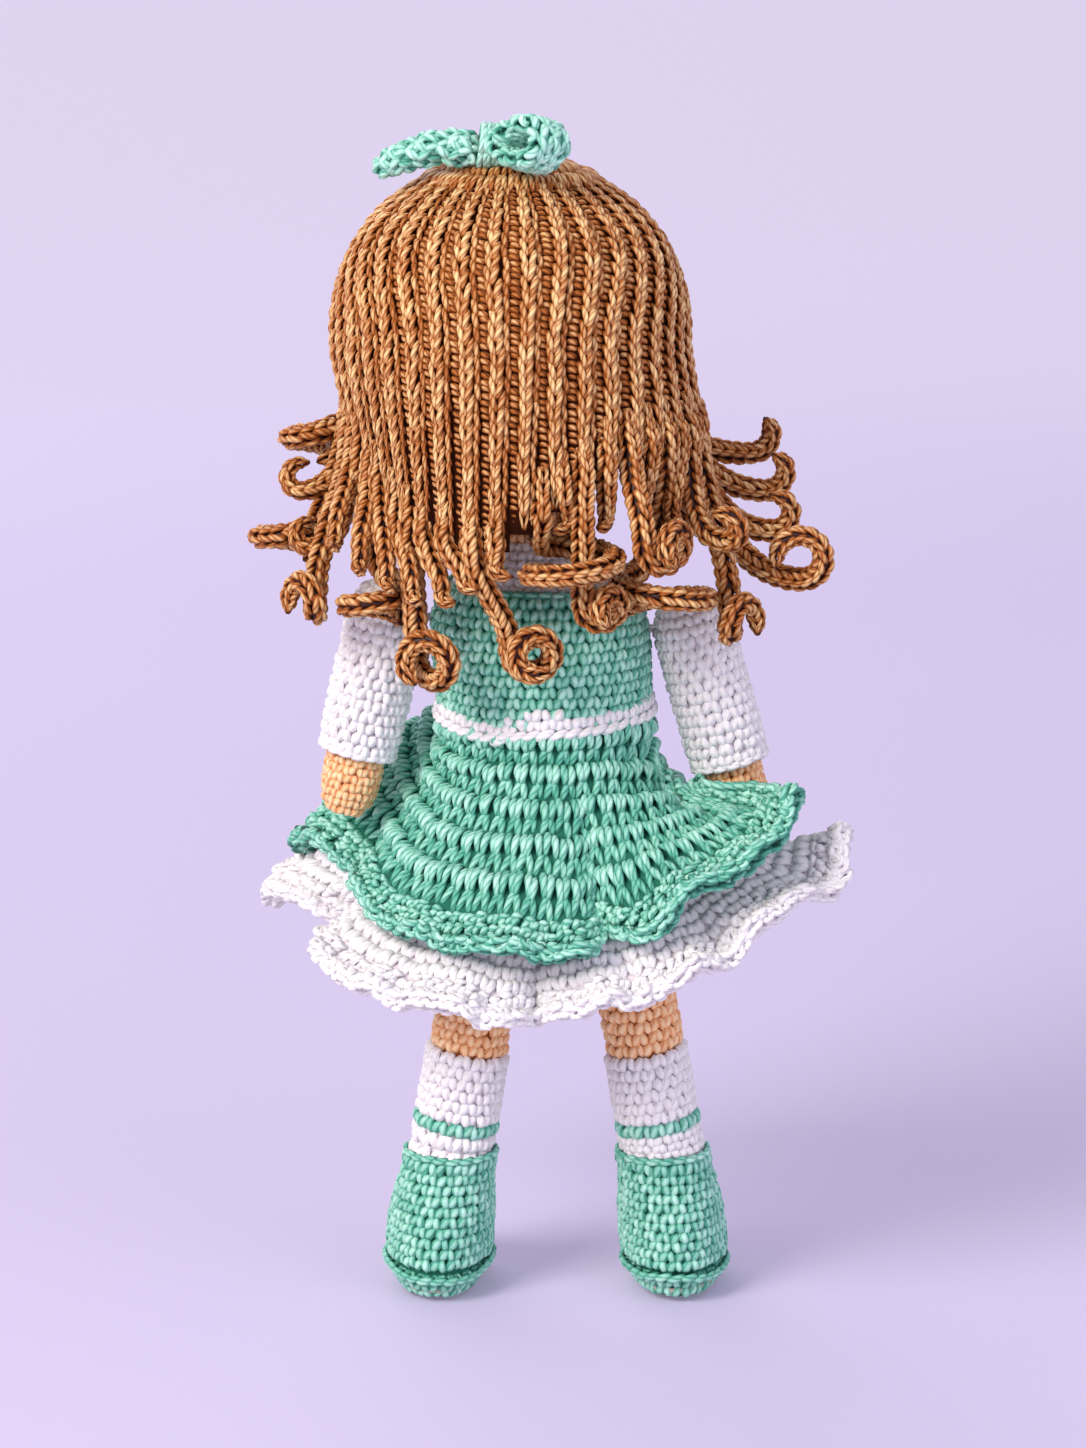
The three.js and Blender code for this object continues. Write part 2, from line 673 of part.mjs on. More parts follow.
function nose() {
  const flatShares = [0.7, 0.55];
  const sunkShare = 0.6;
  const shape = ball(noseHalfWidth, lathed / 2, 6).scale(1, ...flatShares);
  shape.translate(0, 0, headRadius + noseHalfWidth * sunkShare);
  return mesh('nose', onFace(shape, 0, noseTilt), 'skinYarn');
}

function mouth() {
  const reach = headRadius + fit + mouthYarnRadius;
  const points = [-1, -0.5, 0, 0.5, 1].map((share) => {
    const side = (mouthHalfWidth * share) / headRadius;
    const down = mouthTilt - (mouthRise * share * share) / headRadius;
    const level = reach * Math.cos(down);
    return new THREE.Vector3(level * Math.sin(side), -level * Math.cos(side), -reach * Math.sin(down));
  });
  const curve = new THREE.CatmullRomCurve3(points);
  return mesh('mouth', strandBody(curve, 8, 6, () => mouthYarnRadius), 'pinkYarn');
}

// Hair: a strand has a place across the wig from -1 to 1, 0 at the back and positive on the doll's left
const hangShares = [
  [-1, 0.4], [-0.6, 0.48], [-0.25, 0.55], [-0.1, 0.78], [0.05, 1], [0.3, 0.95], [0.5, 0.62],
  [0.75, 0.46], [1, 0.4],
];
const flareSlopeShares = [[-1, 0.08], [-0.5, 0.19], [-0.1, 0], [0.1, -0.05], [0.5, -0.19], [1, -0.08]];

function hairAzimuth(place, angle) {
  const s = Math.min(Math.max((angle - partingStart) / (partingEnd - partingStart), 0), 1);
  const opened = (s * s * (3 - 2 * s) * faceOpening) / fullTurn;
  return Math.PI * place * (1 - opened);
}

function aroundHead(azimuth, reach, z) {
  return new THREE.Vector3(reach * Math.sin(azimuth), reach * Math.cos(azimuth), z);
}

// Point on the wig: down runs from 0 at the crown ring to 1 at the lower edge
function hairPoint(place, down, depth) {
  const curved = hairRadius * (Math.PI / 2 - crownAngle);
  const length = curved + hairHang * readShares(hangShares, place);
  const along = length * down;
  const hang = Math.max(along - curved, 0);
  const angle = Math.min(crownAngle + along / hairRadius, Math.PI / 2);
  const flare = readShares(flareSlopeShares, place) * Math.max(hang - strandThick, 0);
  const reach = (hairRadius - depth + flare) * Math.sin(angle);
  return aroundHead(hairAzimuth(place, angle), reach, (hairRadius - depth) * Math.cos(angle) - hang);
}

// Slab between an outer and an inner surface, with all its edges closed
function slabBody(outerAt, innerAt, columns, rows) {
  const points = [];
  for (const surfaceAt of [outerAt, innerAt]) {
    for (let j = 0; j <= rows; j += 1) {
      for (let i = 0; i <= columns; i += 1) {
        points.push(surfaceAt(i / columns, j / rows));
      }
    }
  }
  const layer = (columns + 1) * (rows + 1);
  const at = (side, i, j) => side * layer + j * (columns + 1) + i;
  const faces = [];
  const quad = (a, b, c, d) => faces.push(a, b, c, a, c, d);
  for (let j = 0; j < rows; j += 1) {
    for (let i = 0; i < columns; i += 1) {
      quad(at(0, i, j), at(0, i + 1, j), at(0, i + 1, j + 1), at(0, i, j + 1));
      quad(at(1, i, j), at(1, i, j + 1), at(1, i + 1, j + 1), at(1, i + 1, j));
    }
    quad(at(0, 0, j), at(0, 0, j + 1), at(1, 0, j + 1), at(1, 0, j));
    quad(at(0, columns, j + 1), at(0, columns, j), at(1, columns, j), at(1, columns, j + 1));
  }
  for (let i = 0; i < columns; i += 1) {
    quad(at(0, i + 1, 0), at(0, i, 0), at(1, i, 0), at(1, i + 1, 0));
    quad(at(0, i, rows), at(0, i + 1, rows), at(1, i + 1, rows), at(1, i, rows));
  }
  return facesOut(points, faces);
}

function hairCap() {
  const perStrand = 2;
  const grooveShare = 0.5;
  const rootShare = -0.06;
  const outerStrandShare = 0.985;
  const columns = hairStrands * perStrand;
  const layerAt = (depthAt) => (u, t) => {
    const depth = depthAt(Math.round(u * columns));
    return hairPoint(outerStrandShare * (2 * u - 1), rootShare + (1 - rootShare) * t, depth);
  };
  const outer = layerAt((column) => (column % perStrand === 0 ? strandThick * grooveShare : 0));
  const curtain = slabBody(outer, layerAt(() => strandThick), columns, 7);
  const overlapShare = 0.6;
  const crownEdge = crownAngle + (strandThick / hairRadius) * overlapShare;
  const crownRows = 4;
  const crownAt = (u, t) => {
    const k = Math.round(t * (2 * crownRows + 1));
    const outside = k <= crownRows;
    const radius = outside ? hairRadius + fit : hairRadius - strandThick;
    const angle = (crownEdge * (outside ? k : 2 * crownRows + 1 - k)) / crownRows;
    const across = radius * Math.sin(angle);
    return ovalPoint(u, across, across, { x: 0, y: 0, z: radius * Math.cos(angle) });
  };
  const crown = poleBody(crownAt, lathed, 2 * crownRows + 1);
  return mesh('hair_cap', joined(curtain, crown), 'hairYarn');
}

// Curls, each from a strand's place on the wig's edge: where its ring lies round the head, how far
// out and down as shares of the hair radius, the ring's own share, its turns, and how it faces:
// 0 lies flat, 1 stands facing outwards and 2 hooks up and outwards
const curlShares = {
  a: [0.93, 0.588, 1.153, 0.561, 0.135, 1.1, 0],
  b: [0.76, 0.494, 1.233, 1.054, 0.170, 1.1, 0],
  c: [0.62, 0.374, 1.106, 1.390, 0.099, 1.1, 1],
  d: [0.52, 0.310, 0.896, 1.334, 0.166, 1.1, 0],
  e: [0.3, 0.155, 0.838, 1.670, 0.126, 1.15, 1],
  f: [0.1, -0.045, 0.793, 1.626, 0.112, 1.3, 1],
  g: [-0.08, -0.113, 0.933, 1.065, 0.247, 1.1, 0],
  h: [-0.18, -0.164, 0.954, 1.368, 0.090, 1.1, 1],
  i: [-0.3, -0.246, 1.142, 1.043, 0.108, 1.1, 1],
  k: [-0.42, -0.307, 1.023, 1.278, 0.247, 1.05, 0],
  j: [-0.52, -0.364, 1.294, 0.987, 0.090, 0.5, 2],
  l: [-0.62, -0.366, 1.265, 1.491, 0.099, 1.1, 1],
  p: [-0.71, -0.438, 1.623, 1.188, 0.135, 0.75, 2],
  o: [-0.8, -0.502, 1.446, 0.996, 0.112, 0.45, 2],
  n: [-0.88, -0.553, 1.443, 0.807, 0.112, 0.4, 2],
  m: [-0.97, -0.616, 1.451, 0.639, 0.112, 0.35, 2],
};

class CurlCurve extends THREE.Curve {
  constructor(shares) {
    super();
    const [place, azimuth, reach, drop, ring, turns, facing] = shares;
    const besideShare = 0.7 / hairStrands;
    const edges = [-besideShare, 0, besideShare].map((step) => hairPoint(place + step, 1, strandThick / 2));
    this.root = edges[1].clone();
    this.root.z = Math.min(...edges.map((edge) => edge.z)) - fit;
    this.centre = aroundHead(Math.PI * azimuth, hairRadius * reach, -hairRadius * drop);
    this.radius = hairRadius * ring;
    this.turns = turns;
    const outward = aroundHead(Math.PI * azimuth, 1, 0);
    const level = new THREE.Vector3(outward.y, -outward.x, 0);
    const down = new THREE.Vector3(0, 0, -1);
    const side = Math.sign(this.root.clone().sub(this.centre).dot(level)) || 1;
    const starts = [outward.clone().negate(), level.clone().multiplyScalar(side), down];
    const leads = [level.clone().multiplyScalar(-side), down, outward];
    this.first = starts[facing];
    this.second = leads[facing];
    this.axis = [down, outward, level][facing];
    this.ringStart = this.ringPoint(0);
    const span = this.root.distanceTo(this.ringStart);
    const leaveShare = 0.4;
    const arriveShare = 0.35;
    const leave = this.root.clone().addScaledVector(down, span * leaveShare);
    const arrive = this.ringStart.clone().addScaledVector(this.second, -span * arriveShare);
    this.fall = new THREE.CubicBezierCurve3(this.root, leave, arrive, this.ringStart);
    const ringLength = fullTurn * this.radius * turns;
    this.fallShare = this.fall.getLength() / (this.fall.getLength() + ringLength);
  }

  ringPoint(share) {
    const angle = fullTurn * this.turns * share;
    const closingShare = 0.12;
    const radius = this.radius * (1 - closingShare * share);
    const pitch = 2 * curlStrandRadius + curlTurnGap;
    return this.centre
      .clone()
      .addScaledVector(this.first, radius * Math.cos(angle))
      .addScaledVector(this.second, radius * Math.sin(angle))
      .addScaledVector(this.axis, pitch * this.turns * share);
  }

  getPoint(t, target = new THREE.Vector3()) {
    const point = t <= this.fallShare ? this.fall.getPoint(t / this.fallShare)
      : this.ringPoint((t - this.fallShare) / (1 - this.fallShare));
    return target.copy(point);
  }
}

// Least gap between turns that lie more than half a ring apart along the strand
function leastSelfGap(curve) {
  const steps = 120;
  const points = curve.getSpacedPoints(steps);
  const stepLength = curve.getLength() / steps;
  const apart = Math.ceil((Math.PI * curve.radius) / stepLength);
  let least = Infinity;
  for (let a = 0; a + apart <= steps; a += 1) {
    for (let b = a + apart; b <= steps; b += 1) {
      least = Math.min(least, points[a].distanceTo(points[b]) - 2 * curlStrandRadius);
    }
  }
  return least;
}

function curls() {
  const ringSteps = 8;
  const fallSteps = 5;
  const sides = 5;
  const gaps = [];
  const pieces = Object.entries(curlShares).map(([letter, shares]) => {
    const curve = new CurlCurve(shares);
    gaps.push(leastSelfGap(curve));
    const steps = fallSteps + Math.ceil(ringSteps * curve.turns);
    const radiusAt = (t) => curlStrandRadius + (curlTipRadius - curlStrandRadius) * t ** 4;
    return mesh(`curl_${letter}`, strandBody(curve, steps, sides, radiusAt), 'hairYarn');
  });
  console.log(`least gap between turns of a curl: ${Math.min(...gaps).toFixed(2)} mm`);
  return pieces;
}

// Bow: each loop is a closed band whose middle line has points outwards and upwards as shares of
// the loop's length, and which lies rolled about its length and swung round the knot
const bowLoopShares = {
  left: [[0, 0.04], [0.35, 0.13], [0.7, 0.08], [1, -0.1], [0.7, -0.04], [0.35, 0], [0, -0.08]],
  right: [[0, 0.1], [0.4, 0.34], [0.8, 0.34], [1, 0.06], [0.8, -0.24], [0.4, -0.26], [0, -0.1]],
};
const bowLoopTurns = {
  left: new THREE.Euler(-45 * degree, 0, 0, 'ZYX'),
  right: new THREE.Euler(12 * degree, -14 * degree, 155 * degree, 'ZYX'),
};

function bowLoop(side) {
  const length = bowLoopLengths[side] - bowBandThick;
  const start = bowKnotRadius + fit + bowBandThick;
  const onLine = ([out, up]) => new THREE.Vector3(start + length * out, 0, length * up);
  const line = new THREE.CatmullRomCurve3(bowLoopShares[side].map(onLine), true);
  const corners = [[-1, -1], [1, -1], [1, 1], [-1, 1]];
  const pointAt = (u, t) => {
    const [across, outside] = corners[Math.round(u * corners.length)];
    const normal = new THREE.Vector3(0, 1, 0).cross(line.getTangentAt(t));
    const point = line.getPointAt(t).addScaledVector(normal, (outside * bowBandThick) / 2);
    return point.setY((across * bowBandWidth) / 2);
  };
  const piece = mesh(`bow_loop_${side}`, ringBody(pointAt, corners.length, lathed), 'mintYarn');
  piece.rotation.copy(bowLoopTurns[side]);
  return piece;
}

function bow() {
  const group = new THREE.Group();
  const seat = hairRadius + 2 * fit + bowKnotRadius;
  group.position.set(bowOffset, seat * Math.sin(bowTilt), seat * Math.cos(bowTilt));
  group.rotation.x = -bowTilt;
  const half = bowKnotLength / 2;
  const knotShares = [[-1, 0.7], [-0.6, 1], [0.6, 1], [1, 0.7]];
  const knotRows = knotShares.map(([along, width]) => row(half * along, bowKnotRadius * width));
  const knot = solidOf(knotRows).rotateX(Math.PI / 2);
  group.add(mesh('bow_knot', knot, 'mintYarn'), bowLoop('left'), bowLoop('right'));
  return group;
}

const doll = new THREE.Group();
doll.add(bodyCover(), neckCover(), bodyStuffing(), neckPeg(), bodice(), belt(), skirt(), petticoat());

const legs = new THREE.Group();
legs.position.x = hipOffset;
const legParts = {
  sole, insole, shoe_upper: shoeUpper, shoe_collar: shoeCollar, sock, sock_stripe: sockStripe, leg,
  leg_stuffing: legStuffing,
};
for (const [name, side] of [['left', 1], ['right', -1]]) {
  for (const [part, make] of Object.entries(legParts)) {
    legs.add(make(side, `${part}_${name}`));
  }
  doll.add(arm(name), armStitch(name));
}
doll.add(legs);

const head = new THREE.Group();
head.position.set(headOffset, 0, headHeight);
head.add(headCover(), headStuffing(), nose(), mouth(), hairCap(), ...curls(), bow());
for (const side of ['left', 'right']) {
  head.add(eye(side), eyeWasher(side));
}
doll.add(head);

// The origin is on the floor, under the middle of the doll's bounding box
const bounds = new THREE.Box3().setFromObject(doll, true);
const middle = bounds.getCenter(new THREE.Vector3());
doll.position.set(-middle.x, -middle.y, -bounds.min.z);

export default doll;
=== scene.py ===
import json
import math

import bpy
import numpy as np
from mathutils import Euler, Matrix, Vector

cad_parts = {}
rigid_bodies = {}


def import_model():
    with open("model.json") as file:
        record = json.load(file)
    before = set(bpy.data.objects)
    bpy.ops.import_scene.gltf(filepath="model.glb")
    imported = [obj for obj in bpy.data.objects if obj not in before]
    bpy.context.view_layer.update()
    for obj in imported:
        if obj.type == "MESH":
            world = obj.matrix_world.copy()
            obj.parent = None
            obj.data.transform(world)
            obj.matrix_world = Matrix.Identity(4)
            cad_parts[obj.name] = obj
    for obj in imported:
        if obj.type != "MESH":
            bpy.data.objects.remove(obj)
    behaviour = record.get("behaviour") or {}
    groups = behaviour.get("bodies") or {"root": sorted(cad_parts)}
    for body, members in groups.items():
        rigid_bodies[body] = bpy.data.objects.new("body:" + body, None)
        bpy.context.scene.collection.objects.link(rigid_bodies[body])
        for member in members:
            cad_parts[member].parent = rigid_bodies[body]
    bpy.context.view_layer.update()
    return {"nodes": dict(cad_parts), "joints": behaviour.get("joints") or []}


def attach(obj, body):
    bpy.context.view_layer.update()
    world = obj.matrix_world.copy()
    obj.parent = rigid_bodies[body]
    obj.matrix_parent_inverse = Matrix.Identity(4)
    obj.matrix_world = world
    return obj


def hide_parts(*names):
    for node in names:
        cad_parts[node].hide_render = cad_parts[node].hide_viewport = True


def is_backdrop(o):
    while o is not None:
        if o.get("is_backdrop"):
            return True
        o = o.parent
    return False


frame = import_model()

mm = 0.001
degree = math.pi / 180
fullTurn = 2 * math.pi
rng = np.random.default_rng(7)

# Sizes in millimetres, from the doll's own plan; the frame's arm joint says where the plan lies
doll = {
    "crotch": 98,
    "waist": 152,
    "bodiceTop": 184,
    "neckBase": 196,
    "neckTop": 211,
    "head": 247,
    "torsoHalfWidth": 25,
    "torsoHalfDepth": 20.5,
    "torsoLean": 3.4,
    "neckRadius": 10.4,
    "headX": 8.5,
    "headRadius": 40,
    "hairRadius": 44.8,
    "hipX": -3,
    "armPivot": {"left": (39.4, 0, 176), "right": (-36.9, 0, 173)},
    "armLean": {"left": 12.5, "right": -15.5},
}
armJoint = next(j for j in frame["joints"] if j["name"] == "arm_left_raise")
shift = np.array(armJoint["pos_m"]) / mm - np.array(doll["armPivot"]["left"])
headCentre = np.array([doll["headX"], 0, doll["head"]])


def log(text):
    print(f"scene: {text}", flush=True)


def hexColour(text):
    # sRGB hex to linear
    channels = [int(text[i : i + 2], 16) / 255 for i in (1, 3, 5)]
    linear = [c / 12.92 if c <= 0.04045 else ((c + 0.055) / 1.055) ** 2.4 for c in channels]
    return (*linear, 1)


def newMaterial(name, colour, rough, level, ior):
    material = bpy.data.materials.new(name)
    material.use_nodes = True
    shader = material.node_tree.nodes["Principled BSDF"]
    shader.inputs["Base Color"].default_value = hexColour(colour)
    shader.inputs["Roughness"].default_value = rough
    shader.inputs["Specular IOR Level"].default_value = level
    shader.inputs["IOR"].default_value = ior
    return material, material.node_tree, shader


def addNode(tree, kind, inputs=None, **settings):
    # an input is a number, a colour, a socket, or a node whose first output is used
    node = tree.nodes.new(kind)
    for key, value in settings.items():
        setattr(node, key, value)
    for key, value in (inputs or {}).items():
        if isinstance(value, bpy.types.Node):
            value = value.outputs[0]
        if isinstance(value, bpy.types.NodeSocket):
            tree.links.new(value, node.inputs[key])
        else:
            node.inputs[key].default_value = value
    return node


# Mercerised cotton yarn, spun and then wound from three plies, sizes in millimetres. The plies show as
# slanted streaks, painted light on their tops and painted with shade in the grooves, with the soft shine
# of mercerised cotton
yarnPlan = {
    "strand": 1.8,
    "plies": 3,
    "plyTurn": 9.818,  # one turn of a ply along the strand; a real one turns within 5, too fine to show
    "plyRound": 0.6,
    "plyRelief": 0.2,
    "fibreWidth": 0.2356,  # a real fibre is 0.02 wide, too fine to show, so these are bundles of fibres
    "fibreLength": 1.125,
    "fibreSpread": 64.0,  # no two strands show the same fibres
    "fibreRelief": 0.35,
    # how much fibres, plies with their painted light and shade, and each strand's own tone with its
    # painted shade lighten it, from a little below the deep colour
    "fibreShare": 0.45,
    "plyShare": 0.4,
    "toneAndShadeShare": 0.3,
    "darken": -0.02,
    # how much painted shade darkens a strand at its ends, where it goes down between its neighbours, and
    # along its sides
    "endShade": 0.85,
    "sideShade": 0.38,
    "ior": 1.53,
    "rough": 0.5,
    "sheen": 0.04,
    "sheenRough": 0.4,
    "middle": 0.42,
    # each look's colours are deep, own and light: the deep one carries painted shade and the light one
    # painted highlights
    "looks": {
        "mint": {"name": "mint cotton yarn", "colours": ("#0b4a3c", "#56b29b", "#c8faed"), "gloss": 0.307},
        "white": {
            "name": "white cotton yarn", "colours": ("#e4dee6", "#f0eef4", "#f0f0f4"), "gloss": 0.077,
        },
        "skin": {"name": "skin cotton yarn", "colours": ("#ad5a28", "#f2b680", "#ffe2b8"), "gloss": 0.269},
        "hair": {
            "name": "caramel cotton yarn", "colours": ("#2e0a01", "#a85d1c", "#ffdea2"), "gloss": 0.269,
            "rough": 0.45, "middle": 0.47,
        },
        "pink": {
            "name": "pink embroidery thread", "colours": ("#8a4048", "#d08088", "#e8a0a4"), "gloss": 0.384,
        },
    },
}


def yarnMaterial(look):
    plan = {**yarnPlan, **look}
    deep, colour, light = plan["colours"]
    material, tree, shader = newMaterial(plan["name"], colour, plan["rough"], plan["gloss"], plan["ior"])
    uv = addNode(tree, "ShaderNodeUVMap", uv_map="yarn")
    split = addNode(tree, "ShaderNodeSeparateXYZ", {0: uv})
    across, along = split.outputs[0], split.outputs[1]
    # plies wind round the strand and leave a groove between them
    plies, twist = plan["plies"], plan["plies"] * plan["strand"] / plan["plyTurn"]
    slant = addNode(tree, "ShaderNodeMath", {0: along, 1: twist}, operation="MULTIPLY")
    turns = addNode(tree, "ShaderNodeMath", {0: across, 1: plies, 2: slant}, operation="MULTIPLY_ADD")
    angle = addNode(tree, "ShaderNodeMath", {0: turns, 1: math.pi}, operation="MULTIPLY")
    swing = addNode(tree, "ShaderNodeMath", {0: angle}, operation="SINE")
    wave = addNode(tree, "ShaderNodeMath", {0: swing}, operation="ABSOLUTE")
    ply = addNode(tree, "ShaderNodeMath", {0: wave, 1: plan["plyRound"]}, operation="POWER")
    # fibres run along the plies
    perPly = math.pi * plan["strand"] / plies / plan["fibreWidth"]
    perStrand = plan["strand"] / plan["fibreLength"]
    fibreX = addNode(tree, "ShaderNodeMath", {0: turns, 1: perPly}, operation="MULTIPLY")
    fibreY = addNode(tree, "ShaderNodeMath", {0: along, 1: perStrand}, operation="MULTIPLY")
    fibreAt = addNode(tree, "ShaderNodeCombineXYZ", {0: fibreX, 1: fibreY})
    toneAndShade = addNode(tree, "ShaderNodeAttribute", attribute_name="toneAndShade").outputs["Fac"]
    apart = addNode(tree, "ShaderNodeMath", {0: toneAndShade, 1: plan["fibreSpread"]}, operation="MULTIPLY")
    spot = addNode(tree, "ShaderNodeVectorMath", {0: fibreAt, 1: apart}, operation="ADD")
    fibres = addNode(tree, "ShaderNodeTexNoise", {"Vector": spot, "Scale": 1.0, "Detail": 3.0})
    # the plies are painted light on their tops and with shade in their grooves
    shares = {0: ply, 1: plan["plyShare"], 2: plan["darken"]}
    plyLight = addNode(tree, "ShaderNodeMath", shares, operation="MULTIPLY_ADD")
    shares = {0: fibres, 1: plan["fibreShare"], 2: plyLight}
    drawn = addNode(tree, "ShaderNodeMath", shares, operation="MULTIPLY_ADD")
    shares = {0: toneAndShade, 1: plan["toneAndShadeShare"], 2: drawn}
    tinted = addNode(tree, "ShaderNodeMath", shares, operation="MULTIPLY_ADD")
    # each loop is painted darker with shade where it goes down between its neighbours, and along its sides
    rise = addNode(tree, "ShaderNodeAttribute", attribute_name="rise").outputs["Fac"]
    shares = {0: rise, 1: plan["endShade"], 2: 1 - plan["endShade"]}
    ends = addNode(tree, "ShaderNodeMath", shares, operation="MULTIPLY_ADD")
    raised = addNode(tree, "ShaderNodeMath", {0: tinted, 1: ends}, operation="MULTIPLY")
    around = addNode(tree, "ShaderNodeMath", {0: across, 1: fullTurn}, operation="MULTIPLY")
    top = addNode(tree, "ShaderNodeMath", {0: around}, operation="SINE")
    shares = {0: top, 1: plan["sideShade"], 2: 1 - plan["sideShade"]}
    sides = addNode(tree, "ShaderNodeMath", shares, operation="MULTIPLY_ADD")
    shade = addNode(tree, "ShaderNodeMath", {0: raised, 1: sides}, operation="MULTIPLY")
    # the ramp runs from the deep colour of painted shade through the yarn's own colour to the light colour
    # of painted highlights
    ramp = addNode(tree, "ShaderNodeValToRGB", {0: shade})
    ramp.color_ramp.elements[0].color = hexColour(deep)
    ramp.color_ramp.elements[1].color = hexColour(light)
    ramp.color_ramp.elements.new(plan["middle"]).color = hexColour(colour)
    tree.links.new(ramp.outputs[0], shader.inputs["Base Color"])
    heights = {0: fibres, 1: plan["fibreRelief"], 2: ply}
    height = addNode(tree, "ShaderNodeMath", heights, operation="MULTIPLY_ADD")
    relief = {"Height": height, "Strength": 1.0, "Distance": plan["plyRelief"] * mm}
    bump = addNode(tree, "ShaderNodeBump", relief)
    tree.links.new(bump.outputs[0], shader.inputs["Normal"])
    shader.inputs["Sheen Weight"].default_value = plan["sheen"]
    shader.inputs["Sheen Roughness"].default_value = plan["sheenRough"]
    return material


# The same yarn where it lies in the shade between stitches: matt, rough with fuzz, and darker, its colour
# painted with that shade
clothPlan = {
    "fuzz": 0.7143,  # mm; real fuzz is finer, and it shows here only as roughness
    "fuzzRelief": 0.3,
    "fuzzStrength": 0.6,
    "rough": 0.95,
    "level": 0.077,
    "ior": 1.53,
    "thick": 0.6,
    # each colour is its yarn's colour darkened with painted shade
    "colours": {"mint": "#2a6f5e", "white": "#e2dae1", "skin": "#96572c", "hair": "#2b0f03"},
}


def clothMaterial(yarn, colour):
    plan = clothPlan
    name = f"{yarn} cloth between stitches"
    material, tree, shader = newMaterial(name, colour, plan["rough"], plan["level"], plan["ior"])
    place = addNode(tree, "ShaderNodeTexCoord").outputs["Object"]
    scale = 1 / (plan["fuzz"] * mm)
    fuzz = addNode(tree, "ShaderNodeTexNoise", {"Vector": place, "Scale": scale, "Detail": 2.0})
    relief = {"Height": fuzz, "Strength": plan["fuzzStrength"], "Distance": plan["fuzzRelief"] * mm}
    bump = addNode(tree, "ShaderNodeBump", relief)
    tree.links.new(bump.outputs[0], shader.inputs["Normal"])
    return material


yarns = {yarn: yarnMaterial(look) for yarn, look in yarnPlan["looks"].items()}
cloths = {yarn: clothMaterial(yarn, colour) for yarn, colour in clothPlan["colours"].items()}
log("yarns and cloths mixed")


def readShares(table, place):
    points = np.array(table, float)
    x, y = points[:, 0], points[:, 1]
    place = np.asarray(place, float)
    last = len(x) - 1
    k = np.clip(np.searchsorted(x, place, side="left") - 1, 0, last - 1)
    span = x[k + 1] - x[k]
    s = np.clip((place - x[k]) / span, 0, 1)
    before, after = np.maximum(k - 1, 0), np.minimum(k + 2, last)
    slopeIn = (y[k + 1] - y[before]) / (x[k + 1] - x[before]) * span
    slopeOut = (y[after] - y[k]) / (x[after] - x[k]) * span
    rise = y[k + 1] - y[k]
    bend = 3 * rise - 2 * slopeIn - slopeOut + s * (slopeIn + slopeOut - 2 * rise)
    return y[k] + s * (slopeIn + s * bend)


def unit(vectors):
    return vectors / np.maximum(np.linalg.norm(vectors, axis=-1, keepdims=True), 1e-9)


def reachAlong(line):
    # distance of each point from the first, along the line
    steps = np.linalg.norm(np.diff(line, axis=0), axis=1)
    return np.concatenate([[0], np.cumsum(steps)])


# Surfaces give points in the plan from u, in turns round the piece, and a second place v along it


def oval(u, z, halfWidth, halfDepth, x=0.0, y=0.0):
    angle = fullTurn * u
    ring = (x + halfWidth * np.cos(angle), y + halfDepth * np.sin(angle), z)
    return np.stack(np.broadcast_arrays(*ring), -1)


def normals(surface, u, v, du, dv, facing=1):
    across = surface(u + du, v) - surface(u - du, v)
    along = surface(u, v + dv) - surface(u, v - dv)
    return unit(np.cross(across, along) * facing)


# half width of the torso as a share, by share of its height
torsoShares = [
    (0, 0.62), (0.06, 0.82), (0.16, 0.95), (0.32, 1), (0.55, 0.985),
    (0.74, 1), (0.83, 0.95), (0.9, 0.79), (0.96, 0.56), (1, doll["neckRadius"] / doll["torsoHalfWidth"]),
]


def torso(grow):
    def surface(u, z):
        share = readShares(torsoShares, (z - doll["crotch"]) / (doll["neckBase"] - doll["crotch"]))
        roundness = doll["neckRadius"] / doll["torsoHalfWidth"]
        depth = doll["torsoHalfDepth"] / doll["torsoHalfWidth"]
        slim = depth + (1 - depth) * ((1 - share) / (1 - roundness)) ** 2
        slim = np.where(share > roundness, slim, 1)
        x = math.tan(doll["torsoLean"] * degree) * (z - doll["waist"])
        half = doll["torsoHalfWidth"] * share
        return oval(u, z, half + grow, half * slim + grow, x)

    return surface


neckPlan = {"radius": 9.7, "x": 2.6, "slope": 1 / 15}


def neck(u, z):
    x = neckPlan["x"] + (z - doll["neckBase"]) * neckPlan["slope"]
    return oval(u, z, neckPlan["radius"], neckPlan["radius"], x)


